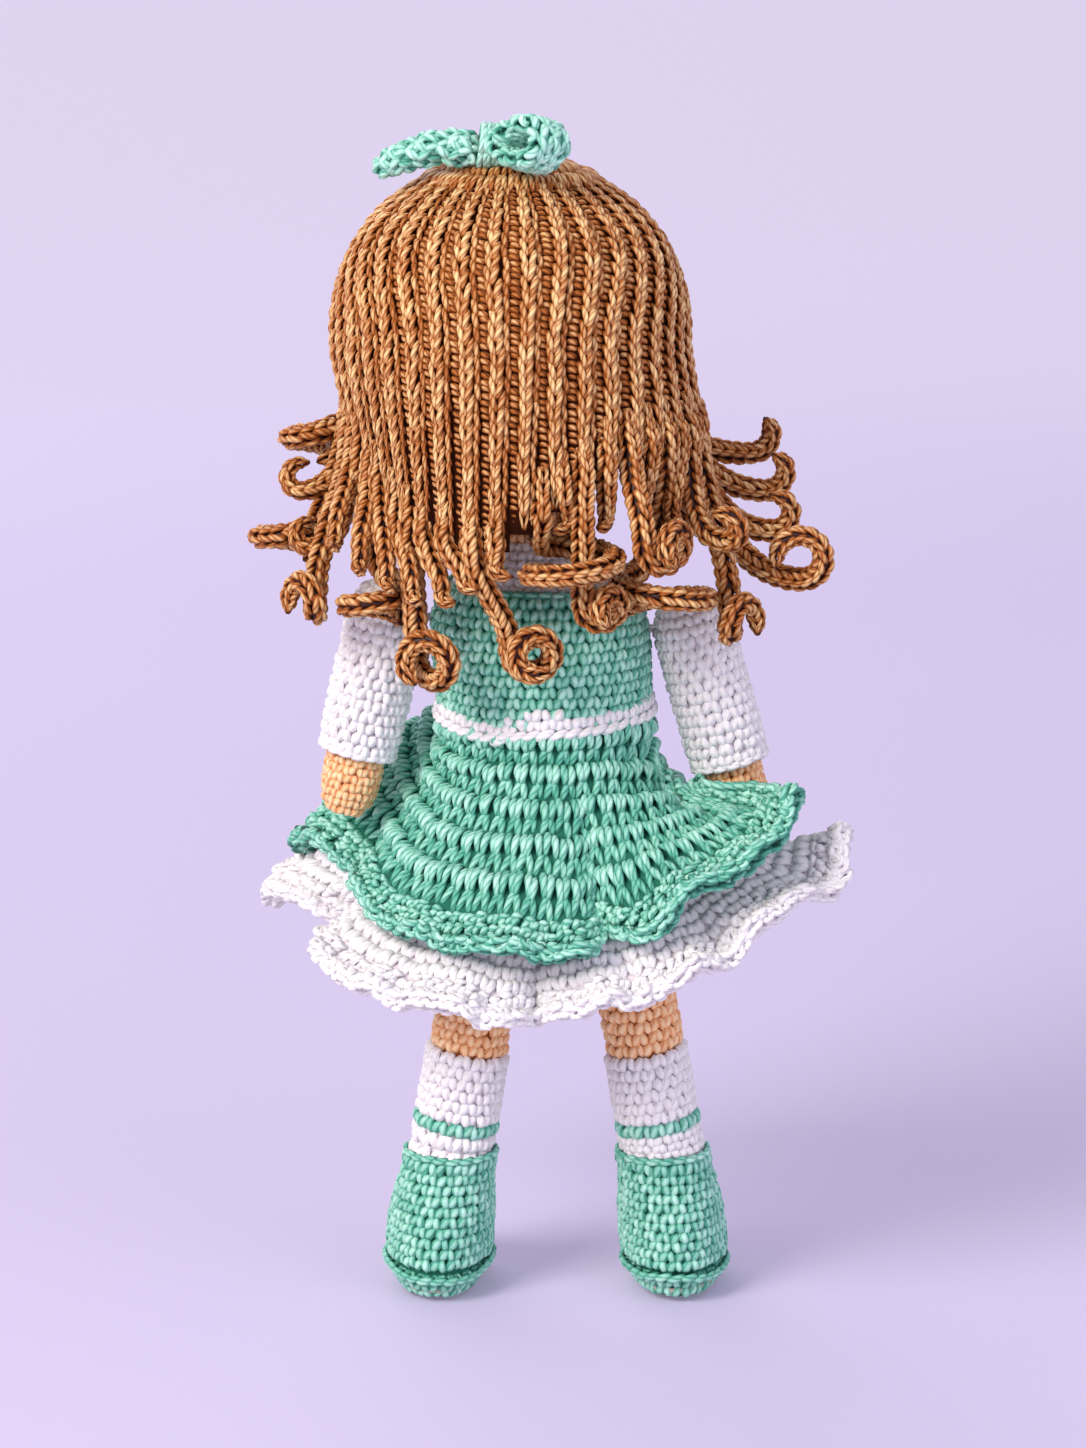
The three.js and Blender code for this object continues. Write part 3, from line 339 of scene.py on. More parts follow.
# Skirts: each fold is a place round the waist and the hem's reach, rise and puff as shares, and a
# ruffle is its slow waves, its quick waves and their reach in millimetres
clothShape = {
    "waistOut": 0.3,
    "thick": 1.0,
    "faceShare": 0.4,  # where the stitches lie, as a share of the whole cloth's thickness
    "edgeLoose": 0.12,
    "flare": 1.7,
    "ruffleFrom": 0.62,
    "ruffleCurve": 1.5,
    "droopFrom": 0.6,
    "slow": 0.62,
    "apart": 1.3,
}
skirtPlan = {
    "flat": (0.47, 0.066),
    "flatArea": 0.0152,
    "top": 147.6,
    "hemRadius": 58,
    "hem": 104,
    "thick": 1.8,
    "ruffle": (15, 26, 1.5),
    "ruffleShares": [
        (0, 1.5), (0.1, 1), (0.27, 1.3), (0.33, 1.7), (0.39, 2.8), (0.46, 3), (0.55, 1), (0.75, 1),
        (0.85, 2.4), (0.92, 2.8), (1, 1.5),
    ],
    "droop": [
        (0, 2), (0.1, 0), (0.3, 0), (0.38, 0), (0.42, 1.5), (0.46, 2), (0.52, 0), (0.8, 1), (0.88, 2),
        (0.92, 3), (0.96, 2.5), (1, 2),
    ],
    "folds": [
        (0, 0.74, 0.06, 0), (0.05, 0.86, 0.22, 0), (0.11, 0.93, 0.08, 0), (0.172, 0.95, 0.02, 0),
        (0.25, 0.957, 0, 0), (0.283, 0.91, -0.03, 0), (0.3, 0.79, 0.04, 0), (0.32, 0.95, 0.06, 0),
        (0.361, 1.09, 0.33, -0.12), (0.405, 1.22, 0.6, -0.24), (0.43, 1.2, 0.71, -0.3),
        (0.45, 0.98, 0.72, -0.3), (0.466, 0.72, 0.66, -0.16), (0.48, 0.64, 0.52, -0.04),
        (0.5, 0.65, 0.36, 0), (0.522, 0.66, 0.25, 0), (0.545, 0.84, 0.17, 0), (0.597, 1.1, 0.2, 0),
        (0.667, 1.07, 0.04, 0), (0.736, 1.03, 0, 0), (0.806, 1.1, 0.08, 0.1), (0.867, 1.2, 0.06, 0.3),
        (0.914, 1.29, 0.17, 0.26), (0.958, 1, 0.25, 0.04),
    ],
}
petticoatPlan = {
    "flat": (0.51, 0.068),
    "flatArea": 0.0174,
    "top": 134.2,
    "hemRadius": 64,
    "hem": 90,
    "thick": 1.8,
    "ruffle": (18, 31, 2.0),
    "ruffleShares": [
        (0, 1.5), (0.06, 1.4), (0.2, 1), (0.3, 1.2), (0.4, 2), (0.46, 2.8), (0.55, 1), (0.75, 1),
        (0.86, 2), (0.93, 2.6), (1, 1.5),
    ],
    "droop": [
        (0, 1.5), (0.1, 0), (0.32, -1), (0.4, -1), (0.45, 2.5), (0.49, 2), (0.54, 0), (0.82, 1), (0.88, 2),
        (0.92, 3), (0.96, 2), (1, 1.5),
    ],
    "folds": [
        (0, 0.72, 0.065, 0), (0.033, 0.89, 0.11, 0), (0.07, 0.95, 0.08, 0), (0.125, 0.945, 0.016, 0),
        (0.18, 0.94, 0, 0), (0.217, 0.89, -0.05, 0), (0.239, 0.73, -0.1, 0), (0.264, 0.84, -0.03, 0),
        (0.306, 0.92, 0.016, 0), (0.361, 0.98, 0.13, -0.03), (0.417, 1.11, 0.355, -0.1),
        (0.45, 1.23, 0.53, -0.16), (0.478, 1.11, 0.53, -0.16), (0.503, 0.77, 0.25, -0.05),
        (0.536, 0.8, 0.13, 0), (0.597, 1.09, 0.17, 0), (0.667, 1.06, 0.05, 0), (0.736, 1, 0.01, 0),
        (0.806, 1.06, 0.08, 0), (0.872, 1.19, 0.06, 0.1), (0.925, 1.27, 0.16, 0.1), (0.964, 0.97, 0.17, 0),
    ],
}


def flaredCloth(plan, grow=0.0):
    folds = plan["folds"]

    def fold(u, column):
        pairs = [(row[0], row[column]) for row in folds]
        table = [(pairs[-2][0] - 1, pairs[-2][1]), (pairs[-1][0] - 1, pairs[-1][1]), *pairs]
        table += [(pairs[0][0] + 1, pairs[0][1]), (pairs[1][0] + 1, pairs[1][1])]
        return readShares(table, np.mod(u, 1))

    def middle(u, t):
        start = torso(clothShape["waistOut"])(u, np.full(np.shape(u), float(plan["top"])))
        angle = fullTurn * u
        length = doll["waist"] - plan["hem"]
        reach = plan["hemRadius"] * fold(u, 1)
        hem = plan["hem"] + length * fold(u, 2)
        puff = length * fold(u, 3) * 4 * t * (1 - t)
        flare = np.clip(t, 0, None) ** clothShape["flare"]
        x = start[..., 0] + (reach * np.cos(angle) - start[..., 0]) * flare
        y = start[..., 1] + (reach * np.sin(angle) - start[..., 1]) * flare
        return np.stack([x, y, start[..., 2] + (hem - start[..., 2]) * t + puff], -1)

    def surface(u, t):
        # small waves run along the hem and fade out above it
        u, t = np.broadcast_arrays(np.asarray(u, float), np.asarray(t, float))
        slow, quick, amount = plan["ruffle"]
        around = np.mod(u, 1)
        wave = clothShape["slow"] * np.sin(fullTurn * slow * u)
        wave += (1 - clothShape["slow"]) * np.sin(fullTurn * quick * u + clothShape["apart"])
        wave = wave * amount * np.interp(around, *np.transpose(plan["ruffleShares"]))
        low = clothShape["ruffleFrom"]
        wave = wave * np.clip((t - low) / (1 - low), 0, 1) ** clothShape["ruffleCurve"]
        point = middle(u, t) + normals(middle, u, t, 0.004, 0.004, -1) * (grow + wave)[..., None]
        low = clothShape["droopFrom"]
        sag = np.interp(around, *np.transpose(plan["droop"])) * np.clip((t - low) / (1 - low), 0, 1) ** 2
        point[..., 2] -= sag
        return point

    return surface


legPlan = {
    "hip": 16.9,
    "foot": 30.6,
    "splay": 9.5,
    "stripe": 45.6,
    "drift": 1.7,
    "driftHeights": [36, 42, 66, 90],
    "tuck": 4.2,
    "tuckHeight": 10,
    "tuckCurve": 1.6,
    "sockTop": 64.5,
    "shoeRim": 38,
    "shoeHalfWidth": 13.5,
    "heel": 13,
    "toe": 31,
    # a share of the rim's height, and there the shoe's half width, heel and toe as shares
    "shares": [
        (0, 0.84, 0.8, 0.9), (0.05, 0.94, 0.92, 0.97), (0.12, 0.99, 0.98, 1), (0.23, 1, 1, 1),
        (0.36, 1, 1, 0.97), (0.5, 0.985, 0.97, 0.84), (0.64, 0.95, 0.94, 0.64), (0.8, 0.89, 0.89, 0.45),
        (1, 0.82, 0.85, 0.36),
    ],
}


def legX(side, z):
    splay = math.tan(legPlan["splay"] * degree) * (doll["crotch"] - z)
    return doll["hipX"] + side * (legPlan["hip"] + splay)


def legTube(side, radius):
    def surface(u, z):
        # the rounds drift, so that the sock's edge and stripe slope towards the other leg
        drift = legPlan["drift"] * np.interp(z, legPlan["driftHeights"], [0, 1, 1, 0])
        z = z + side * drift * np.cos(fullTurn * u)
        return oval(u, z, radius, radius, legX(side, z))

    return surface


def shoe(side, grow=0.0):
    def surface(u, z):
        share = z / legPlan["shoeRim"]
        half, heel, toe = [
            readShares([(row[0], row[k]) for row in legPlan["shares"]], share) for k in (1, 2, 3)
        ]
        heel = legPlan["heel"] * heel + grow
        toe = legPlan["toe"] * toe + grow
        foot = doll["hipX"] + side * legPlan["foot"]
        x = legX(side, z) + (foot - legX(side, 0)) * (1 - share) ** 2
        # the stuffed sole rounds off below its ridge
        tuck = legPlan["tuck"] * np.clip(1 - z / legPlan["tuckHeight"], 0, 1) ** legPlan["tuckCurve"]
        wide = legPlan["shoeHalfWidth"] * half + grow - tuck
        return oval(u, z, wide, (heel + toe) / 2 - tuck, x, (heel - toe) / 2)

    return surface


armPlan = {
    "sleeveRadius": 9.7,
    "sleeveLength": 34.5,
    "sleeveShares": [(0, 1), (0.55, 1.02), (0.9, 1.01), (1, 0.95)],
    "handRadius": 7.1,
    "handReach": 17,
    "handInside": 7,
    "handShares": [(0, 0), (0.02, 0.4), (0.1, 0.74), (0.25, 0.94), (0.45, 1), (1, 0.94)],
}


def armPlace(side):
    pivot = np.array(doll["armPivot"][side], float)
    lean = -doll["armLean"][side] * degree
    turn = np.array(Euler((0, lean, 0)).to_matrix())
    return lambda points: points @ turn.T + pivot


def sleeve(side, grow=0.0):
    place = armPlace(side)
    radius, length = armPlan["sleeveRadius"], armPlan["sleeveLength"]

    def surface(u, s):
        # s runs down from the top of the shoulder dome
        bend = np.minimum(s / radius, math.pi / 2)
        dome = s < radius * math.pi / 2
        down = np.maximum(s - radius * math.pi / 2, 0)
        z = np.where(dome, (radius + grow) * np.cos(bend), -down)
        width = readShares(armPlan["sleeveShares"], down / length)
        half = np.where(dome, (radius + grow) * np.sin(bend), radius * width + grow)
        return place(oval(u, z, half, half))

    return surface


def hand(side, grow=0.0):
    place = armPlace(side)
    tip = -armPlan["sleeveLength"] - armPlan["handReach"]
    span = armPlan["handReach"] + armPlan["handInside"]

    def surface(u, height):
        width = readShares(armPlan["handShares"], height / span)
        half = armPlan["handRadius"] * width + grow
        return place(oval(u, tip + height, half, half))

    return surface


def ball(radius, centre=headCentre):
    def surface(u, s):
        # s runs down from the top along the meridian
        angle = s / radius
        half = radius * np.sin(angle)
        return oval(u, radius * np.cos(angle), half, half) + centre

    return surface


hairPlan = {
    "strands": 28,
    "crownAngle": 28,
    "hang": 44,
    "thick": 3.7,
    "opening": 96,
    "partingStart": 48,
    "partingEnd": 88,
    "hangShares": [
        (-1, 0.4), (-0.6, 0.48), (-0.25, 0.55), (-0.1, 0.78), (0.05, 1), (0.3, 0.95), (0.5, 0.62),
        (0.75, 0.46), (1, 0.4),
    ],
    "flareShares": [(-1, 0.08), (-0.5, 0.19), (-0.1, 0), (0.1, -0.05), (0.5, -0.19), (1, -0.08)],
}


def aroundHead(azimuth, reach, z):
    # azimuth runs from the middle of the back to the doll's left
    return np.stack(np.broadcast_arrays(reach * np.sin(azimuth), reach * np.cos(azimuth), z), -1)


def hairLength(place):
    curved = doll["hairRadius"] * (math.pi / 2 - hairPlan["crownAngle"] * degree)
    return curved, curved + hairPlan["hang"] * readShares(hairPlan["hangShares"], place)


def wig(depth=0.0):
    # place runs from -1 to 1 round the wig, s in millimetres down from the crown ring
    def surface(place, s):
        place, s = np.broadcast_arrays(np.asarray(place, float), np.asarray(s, float))
        radius = doll["hairRadius"]
        crown = hairPlan["crownAngle"] * degree
        curved, _ = hairLength(place)
        hang = np.maximum(s - curved, 0)
        angle = np.minimum(crown + s / radius, math.pi / 2)
        # the parting opens over the face
        start, end = hairPlan["partingStart"] * degree, hairPlan["partingEnd"] * degree
        opened = np.clip((angle - start) / (end - start), 0, 1)
        opened = opened * opened * (3 - 2 * opened) * hairPlan["opening"] / 360
        flare = readShares(hairPlan["flareShares"], place) * np.maximum(hang - hairPlan["thick"], 0)
        reach = (radius - depth + flare) * np.sin(angle)
        point = aroundHead(math.pi * place * (1 - opened), reach, (radius - depth) * np.cos(angle) - hang)
        return point + headCentre

    return surface


def alongLine(line, radiusAt, first):
    # tube round a line of points; u starts on its first side, and s is in millimetres along it
    line = np.asarray(line, float)
    reach = reachAlong(line)
    tangent = unit(np.gradient(line, axis=0))
    side = [unit(first - tangent[0] * (tangent[0] @ first))]
    for k in range(1, len(line)):
        side.append(unit(side[-1] - tangent[k] * (side[-1] @ tangent[k])))
    side = np.array(side)
    other = np.cross(tangent, side)

    def surface(u, s):
        u, s = np.broadcast_arrays(np.asarray(u, float), np.asarray(s, float))
        angle = fullTurn * u[..., None]
        ring = readLine(side, s, reach) * np.cos(angle) + readLine(other, s, reach) * np.sin(angle)
        past = np.clip(s - reach[-1], 0, None)[..., None] * tangent[-1]
        return readLine(line, s, reach) + past + radiusAt(s)[..., None] * ring

    return surface


def readLine(table, s, reach):
    return np.stack([np.interp(s, reach, table[:, k]) for k in range(3)], -1)


# tubes with fewer rings than this are single stitches, whose ends go down between their neighbours and are
# painted darker there with shade
longThread = 12


def yarnTubes(lines, outs, radius, flat=0.8, sides=6, toneAndShade=None):
    lines = np.asarray(lines, float)
    along = unit(np.gradient(lines, axis=1))
    across = unit(np.cross(along, outs))
    up = np.cross(across, along)
    radius = np.broadcast_to(radius, lines.shape[:2])[..., None, None]
    angle = fullTurn * np.arange(sides)[:, None] / sides
    ring = across[:, :, None, :] * np.cos(angle) + flat * up[:, :, None, :] * np.sin(angle)
    steps = np.linalg.norm(np.diff(lines, axis=1), axis=-1)
    reach = np.concatenate([np.zeros((len(lines), 1)), np.cumsum(steps, axis=1)], axis=1)
    reach /= 2 * np.mean(radius)
    toneAndShade = rng.random(len(lines)) if toneAndShade is None else toneAndShade
    # rise runs from 0 at a short stitch's ends to 1 in its middle; the yarn material paints shade where it
    # is low
    rise = np.ones(lines.shape[1])
    if len(rise) < longThread:
        rise -= np.abs(np.linspace(-1, 1, len(rise))) ** 3
    return {"points": lines[:, :, None, :] + radius * ring, "reach": reach, "toneAndShade": toneAndShade, "rise": rise}


def smoothLines(points, steps):
    # Catmull-Rom through the points of each line
    points = np.asarray(points, float)
    before, after = 2 * points[:, :1] - points[:, 1:2], 2 * points[:, -1:] - points[:, -2:-1]
    ends = np.concatenate([before, points, after], 1)
    place = np.linspace(0, points.shape[1] - 1, steps)
    k = np.minimum(place.astype(int), points.shape[1] - 2)
    t = (place - k)[None, :, None]
    a, b, c, d = (ends[:, k + i] for i in range(4))
    square, cube = 2 * a - 5 * b + 4 * c - d, 3 * b - a - 3 * c + d
    return 0.5 * (2 * b + (c - a) * t + square * t**2 + cube * t**3)


def finishPiece(piece, material, body, nodes):
    piece.data.materials.append(material)
    for node in nodes:
        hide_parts(node)
    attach(piece, body)
    return piece


def meshFrom(name, points, loops, sizes, corners=None, values=None):
    mesh = bpy.data.meshes.new(name)
    mesh.vertices.add(len(points))
    mesh.vertices.foreach_set("co", ((points + shift) * mm).astype(np.float32).ravel())
    mesh.loops.add(len(loops))
    mesh.loops.foreach_set("vertex_index", loops.astype(np.int32))
    mesh.polygons.add(len(sizes))
    mesh.polygons.foreach_set("loop_start", np.concatenate([[0], np.cumsum(sizes)[:-1]]).astype(np.int32))
    if corners is not None:
        layer = mesh.uv_layers.new(name="yarn")
        layer.data.foreach_set("uv", corners.astype(np.float32).ravel())
    for key, numbers in (values or {}).items():
        attribute = mesh.attributes.new(key, "FLOAT", "POINT")
        attribute.data.foreach_set("value", numbers.astype(np.float32))
    mesh.update(calc_edges=True)
    mesh.polygons.foreach_set("use_smooth", np.ones(len(sizes), bool))
    piece = bpy.data.objects.new(name, mesh)
    bpy.context.scene.collection.objects.link(piece)
    return piece


yarnFaces = []


def yarnPiece(name, batches, yarn, body, nodes=()):
    points, loops, sizes, corners, tonesAndShades, rises = [], [], [], [], [], []
    start = 0
    for batch in batches:
        tubes, rings, sides, _ = batch["points"].shape
        index = start + np.arange(tubes * rings * sides).reshape(tubes, rings, sides)
        following = np.roll(index, -1, axis=2)
        quads = np.stack([index[:, :-1], index[:, 1:], following[:, 1:], following[:, :-1]], -1)
        turn = np.broadcast_to(np.arange(sides) / sides, (tubes, rings - 1, sides))
        near = np.broadcast_to(batch["reach"][:, :-1, None], turn.shape)
        far = np.broadcast_to(batch["reach"][:, 1:, None], turn.shape)
        later = turn + 1 / sides
        uv = np.stack([turn, near, turn, far, later, far, later, near], -1)
        caps = np.concatenate([index[:, 0], index[:, -1, ::-1]])
        points.append(batch["points"].reshape(-1, 3))
        loops += [quads.ravel(), caps.ravel()]
        sizes += [np.full(quads.size // 4, 4), np.full(len(caps), sides)]
        corners += [uv.reshape(-1, 2), np.zeros((caps.size, 2))]
        tonesAndShades.append(np.repeat(batch["toneAndShade"], rings * sides))
        rises.append(np.tile(np.repeat(batch["rise"], sides), tubes))
        start += tubes * rings * sides
    piece = meshFrom(
        name, np.concatenate(points), np.concatenate(loops), np.concatenate(sizes),
        np.concatenate(corners), {"toneAndShade": np.concatenate(tonesAndShades), "rise": np.concatenate(rises)},
    )
    yarnFaces.append(sum(len(s) for s in sizes))
    return finishPiece(piece, yarns[yarn], body, nodes)


def clothPiece(name, surface, us, vs, yarn, body, nodes=(), thick=clothPlan["thick"]):
    # smooth cloth under the stitches
    us = np.asarray(us, float)
    rows = np.array([surface(us, np.full(us.shape, v)) for v in vs])
    index = np.arange(rows[..., 0].size).reshape(rows.shape[:2])
    following = np.roll(index, -1, axis=1)
    quads = np.stack([index[:-1], following[:-1], following[1:], index[1:]], -1)
    piece = meshFrom(name, rows.reshape(-1, 3), quads.ravel(), np.full(quads.size // 4, 4))
    thicken(piece, thick)
    return finishPiece(piece, cloths[yarn], body, nodes)


def thicken(piece, thick):
    solid = piece.modifiers.new("thickness", "SOLIDIFY")
    solid.thickness = thick * mm
    solid.offset = 0


def roundUs(count):
    return np.arange(count) / count


def paired(line):
    return [line, [(-a, b, c) for a, b, c in line]]


# Stitches: sizes in millimetres; lines in widths, heights and, outwards, yarn radii. The swell is the
# strand's thickness along a line, and the shades are painted light and shade that make a line lighter or
# darker than the others
stitches = {
    # two plump legs side by side that lean together a little at the foot
    "single": {
        "width": 3.9, "height": 2.8, "radius": 1.08, "rings": 6,
        "swell": [0.6, 1.0, 1.15, 1.12, 0.92, 0.6],
        "lines": paired(
            [
                (-0.34, 0.54, -1.2), (-0.32, 0.31, 0.15), (-0.25, 0.02, 0.6), (-0.17, -0.3, 0.2),
                (-0.11, -0.58, -1.2),
            ]
        ),
    },
    # the same, worked tighter
    "fine": {
        "width": 3.2, "height": 2.3, "radius": 0.9, "rings": 6,
        "swell": [0.6, 1.0, 1.15, 1.12, 0.92, 0.6],
        "lines": paired(
            [
                (-0.34, 0.54, -1.2), (-0.31, 0.31, 0.15), (-0.24, 0.02, 0.6), (-0.17, -0.3, 0.2),
                (-0.11, -0.58, -1.2),
            ]
        ),
    },
    # two plump loops at the head, and below them two legs that part; the shades paint the loops lighter
    # and the sunken legs darker, as light and shade
    "double": {
        "width": 3.9, "height": 9.0, "radius": 0.9, "rings": 7,
        "swell": [0.6, 1.0, 1.18, 1.15, 1.0, 0.85, 0.6], "shades": [0.15, 0.15, -0.35, -0.35],
        "lines": [
            [
                (-0.2, 0.57, -1.2), (-0.24, 0.42, 1.3), (-0.23, 0.22, 2.1),
                (-0.18, 0.06, 1.3), (-0.16, -0.08, -0.8),
            ],
            [
                (0.3, 0.57, -1.2), (0.27, 0.42, 1.3), (0.22, 0.22, 2.1),
                (0.15, 0.06, 1.3), (0.1, -0.08, -0.8),
            ],
            [
                (0.0, 0.12, -0.9), (-0.06, -0.04, 0.1), (-0.2, -0.22, 0.4),
                (-0.34, -0.38, 0.0), (-0.44, -0.54, -1.1),
            ],
            [
                (0.12, 0.12, -0.9), (0.16, -0.04, 0.0), (0.24, -0.22, 0.2),
                (0.28, -0.38, -0.1), (0.3, -0.54, -1.1),
            ],
        ],
    },
    # small lobes that stand every way, as along a worked edge
    "edge": {
        "width": 3.1, "height": 2.5, "radius": 0.92, "rings": 6,
        "swell": [0.65, 1.0, 1.15, 1.1, 0.95, 0.65],
        "lines": [
            [
                (-0.42, 0.36, -0.9), (-0.34, 0.16, 0.4), (-0.14, 0.1, 1.0),
                (0.1, 0.2, 0.6), (0.2, 0.5, -0.8),
            ],
            [
                (0.4, 0.3, -0.8), (0.34, 0.0, 0.4), (0.26, -0.24, 0.7),
                (0.16, -0.4, 0.3), (0.0, -0.56, -0.9),
            ],
            [(-0.1, 0.16, -0.5), (-0.22, -0.06, 0.5), (-0.32, -0.3, 0.6), (-0.34, -0.5, -0.6)],
        ],
    },
    # long strand of hair: a ridge of V's, a thin chain beside it and a ladder of short rungs; the shades
    # paint the ridge lighter and the sunken chain and rungs darker, as light and shade
    "strand": {
        "width": 7.4, "height": 3.4, "radius": 0.78, "rings": 7,
        "swell": [0.7, 0.95, 1.05, 1.1, 1.05, 0.95, 0.7], "shades": [0.25, 0.25, -0.2, -0.5, -0.5],
        "lines": [
            [
                (0.12, 0.9, -0.3), (0.12, 0.5, 1.5), (0.07, 0.0, 2.3),
                (0.01, -0.45, 2.2), (-0.03, -0.85, 1.0),
            ],
            [
                (-0.22, 0.9, -0.3), (-0.21, 0.5, 1.5), (-0.16, 0.0, 2.3),
                (-0.1, -0.45, 2.2), (-0.06, -0.85, 1.0),
            ],
            [
                (-0.33, 0.8, -0.8), (-0.36, 0.4, 0.5), (-0.4, 0.0, 1.1),
                (-0.43, -0.4, 0.7), (-0.45, -0.8, -0.8),
            ],
            [
                (0.53, 0.3, -1.2), (0.47, 0.3, 0.0), (0.36, 0.26, 0.5),
                (0.24, 0.18, 0.4), (0.12, 0.08, 0.0),
            ],
            [
                (0.53, -0.2, -1.2), (0.46, -0.2, -0.2), (0.36, -0.22, 0.2),
                (0.25, -0.28, 0.2), (0.12, -0.34, 0.0),
            ],
        ],
    },
    # a curled strand: columns of V's run along three sides of the cord
    "cord": {
        "width": 15, "height": 2.8, "radius": 0.8, "rings": 7,
        "swell": [0.6, 0.95, 1.1, 1.15, 1.05, 0.9, 0.6],
        "lines": [
            [
                (0.115, 0.85, -0.7), (0.1, 0.5, 0.5), (0.065, 0.0, 1.1),
                (0.03, -0.45, 0.9), (0.015, -0.8, -0.2),
            ],
            [
                (-0.115, 0.85, -0.7), (-0.1, 0.5, 0.5), (-0.065, 0.0, 1.1),
                (-0.03, -0.45, 0.9), (-0.015, -0.8, -0.2),
            ],
            [
                (0.22, 0.6, -0.7), (0.235, 0.3, 0.3), (0.27, -0.1, 0.7),
                (0.3, -0.5, 0.4), (0.32, -0.8, -0.5),
            ],
            [
                (0.45, 0.7, -0.7), (0.43, 0.4, 0.3), (0.4, 0.0, 0.7),
                (0.37, -0.45, 0.4), (0.35, -0.8, -0.5),
            ],
            [
                (-0.22, 0.7, -0.7), (-0.235, 0.4, 0.3), (-0.27, 0.0, 0.7),
                (-0.3, -0.4, 0.4), (-0.32, -0.7, -0.5),
            ],
            [
                (-0.45, 0.6, -0.7), (-0.43, 0.3, 0.3), (-0.4, -0.1, 0.7),
                (-0.37, -0.5, 0.4), (-0.35, -0.8, -0.5),
            ],
        ],
    },
    # dense thin legs round the crown
    "crown": {
        "width": 2.9, "height": 5.2, "radius": 0.78, "rings": 8,
        "swell": [0.7, 0.95, 1.1, 1.1, 1.05, 1.0, 0.9, 0.7],
        "lines": paired(
            [
                (-0.3, 0.66, -0.9), (-0.31, 0.36, 0.7), (-0.26, 0.0, 1.2),
                (-0.21, -0.36, 0.8), (-0.18, -0.68, -0.9),
            ]
        ),
    },
    # broad open V's of the bow's band; their shades paint them lighter, as light falls on the bow from
    # above
    "broad": {
        "width": 4.0, "height": 2.5, "radius": 0.9, "rings": 10,
        "swell": [0.65, 0.85, 1.0, 1.1, 1.15, 1.15, 1.1, 1.0, 0.85, 0.65], "shades": [0.5, 0.5],
        "lines": paired(
            [
                (-0.42, 0.75, -0.7), (-0.4, 0.45, 0.4), (-0.26, 0.0, 0.8),
                (-0.12, -0.4, 0.5), (-0.05, -0.75, -0.7),
            ]
        ),
    },
}


# A hand never works two stitches alike: each strand moves, most of all outwards, and is a little
# thicker or thinner, and all are pressed a little flat
handPlan = {"loose": 0.045, "looseOut": 3, "thickness": (0.93, 1.07), "flat": 0.82}


def layStitches(
    surface, cells, stitch, facing=1, steps=(0.002, 0.2), loose=handPlan["loose"], size=1.0, sides=6
):
    # cells are rows of the stitch's middle u, middle v, its width and its height
    u, v, du, dv = (cells[:, k, None] for k in range(4))
    count, rings, radius = len(cells), stitch["rings"], stitch["radius"] * size
    swell = np.array(stitch["swell"])
    lines = stitch["lines"]
    batches = []
    for line, shade in zip(lines, stitch.get("shades", [0] * len(lines))):
        shape = smoothLines([line], rings)[0]
        jitter = rng.normal(0, loose, (count, 3))
        a = shape[:, 0] + jitter[:, :1]
        b = shape[:, 1] + jitter[:, 1:2]
        lift = shape[:, 2] + handPlan["looseOut"] * jitter[:, 2:]
        at = (u + a * du, v + b * dv)
        out = normals(surface, *at, *steps, facing)
        thick = radius * swell * rng.uniform(*handPlan["thickness"], (count, 1))
        strand = surface(*at) + out * (lift * np.reshape(radius, (-1, 1)))[..., None]
        # a stitch's tone differs at random, and its line's shade adds painted light and shade
        toneAndShade = rng.random(count) + shade
        batches.append(yarnTubes(strand, out, thick, handPlan["flat"], sides, toneAndShade))
    return batches


def roundCells(surface, v, rise, width, part=(0, 1), offset=0.0):
    # one round of stitches, spread evenly along its own length
    steps = 240
    around = np.linspace(part[0], part[1], steps + 1)
    reach = reachAlong(surface(around, np.full(steps + 1, float(v))))
    count = max(3, round(reach[-1] / width))
    place = (np.arange(count) + 0.5 + offset) / count * reach[-1] % reach[-1]
    u = np.interp(place, reach, around)
    perTurn = np.interp(u, (around[1:] + around[:-1]) / 2, np.diff(reach)) / (around[1] - around[0])
    span = reach[-1] / count / perTurn
    return np.stack([u, np.full(count, float(v)), span, np.full(count, float(rise))], -1)


def rounds(surface, low, high, stitch, part=(0, 1), upwards=True):
    # even rounds between two places along a surface, each a third of a stitch further round
    levels = np.linspace(low, high, 41)
    length = reachAlong(surface(np.full(41, (part[0] + part[1]) / 2), levels))[-1]
    count = max(1, round(length / stitch["height"]))
    step = (high - low) / count
    rise = step if upwards else -step
    return np.concatenate([
        roundCells(surface, low + (k + 0.5) * step, rise, stitch["width"], part, 0.3 * k % 1)
        for k in range(count)
    ])


def stitched(surface, low, high, kind="single", facing=1, upwards=True):
    cells = rounds(surface, low, high, stitches[kind], upwards=upwards)
    return layStitches(surface, cells, stitches[kind], facing)


def crocheted(name, surface, low, high, yarn, body, nodes=(), kind="single"):
    return yarnPiece(name, stitched(surface, low, high, kind), yarn, body, nodes)


# loops of a worked edge: how far they stray and stand out in millimetres, and their thickness
chainPlan = {
    "aside": 0.1,
    "high": 0.9,
    "swell": [0.6, 0.95, 1.1, 1.15, 1.1, 0.95, 0.6],
    "thickness": (0.94, 1.06),
    "flat": 0.85,
}


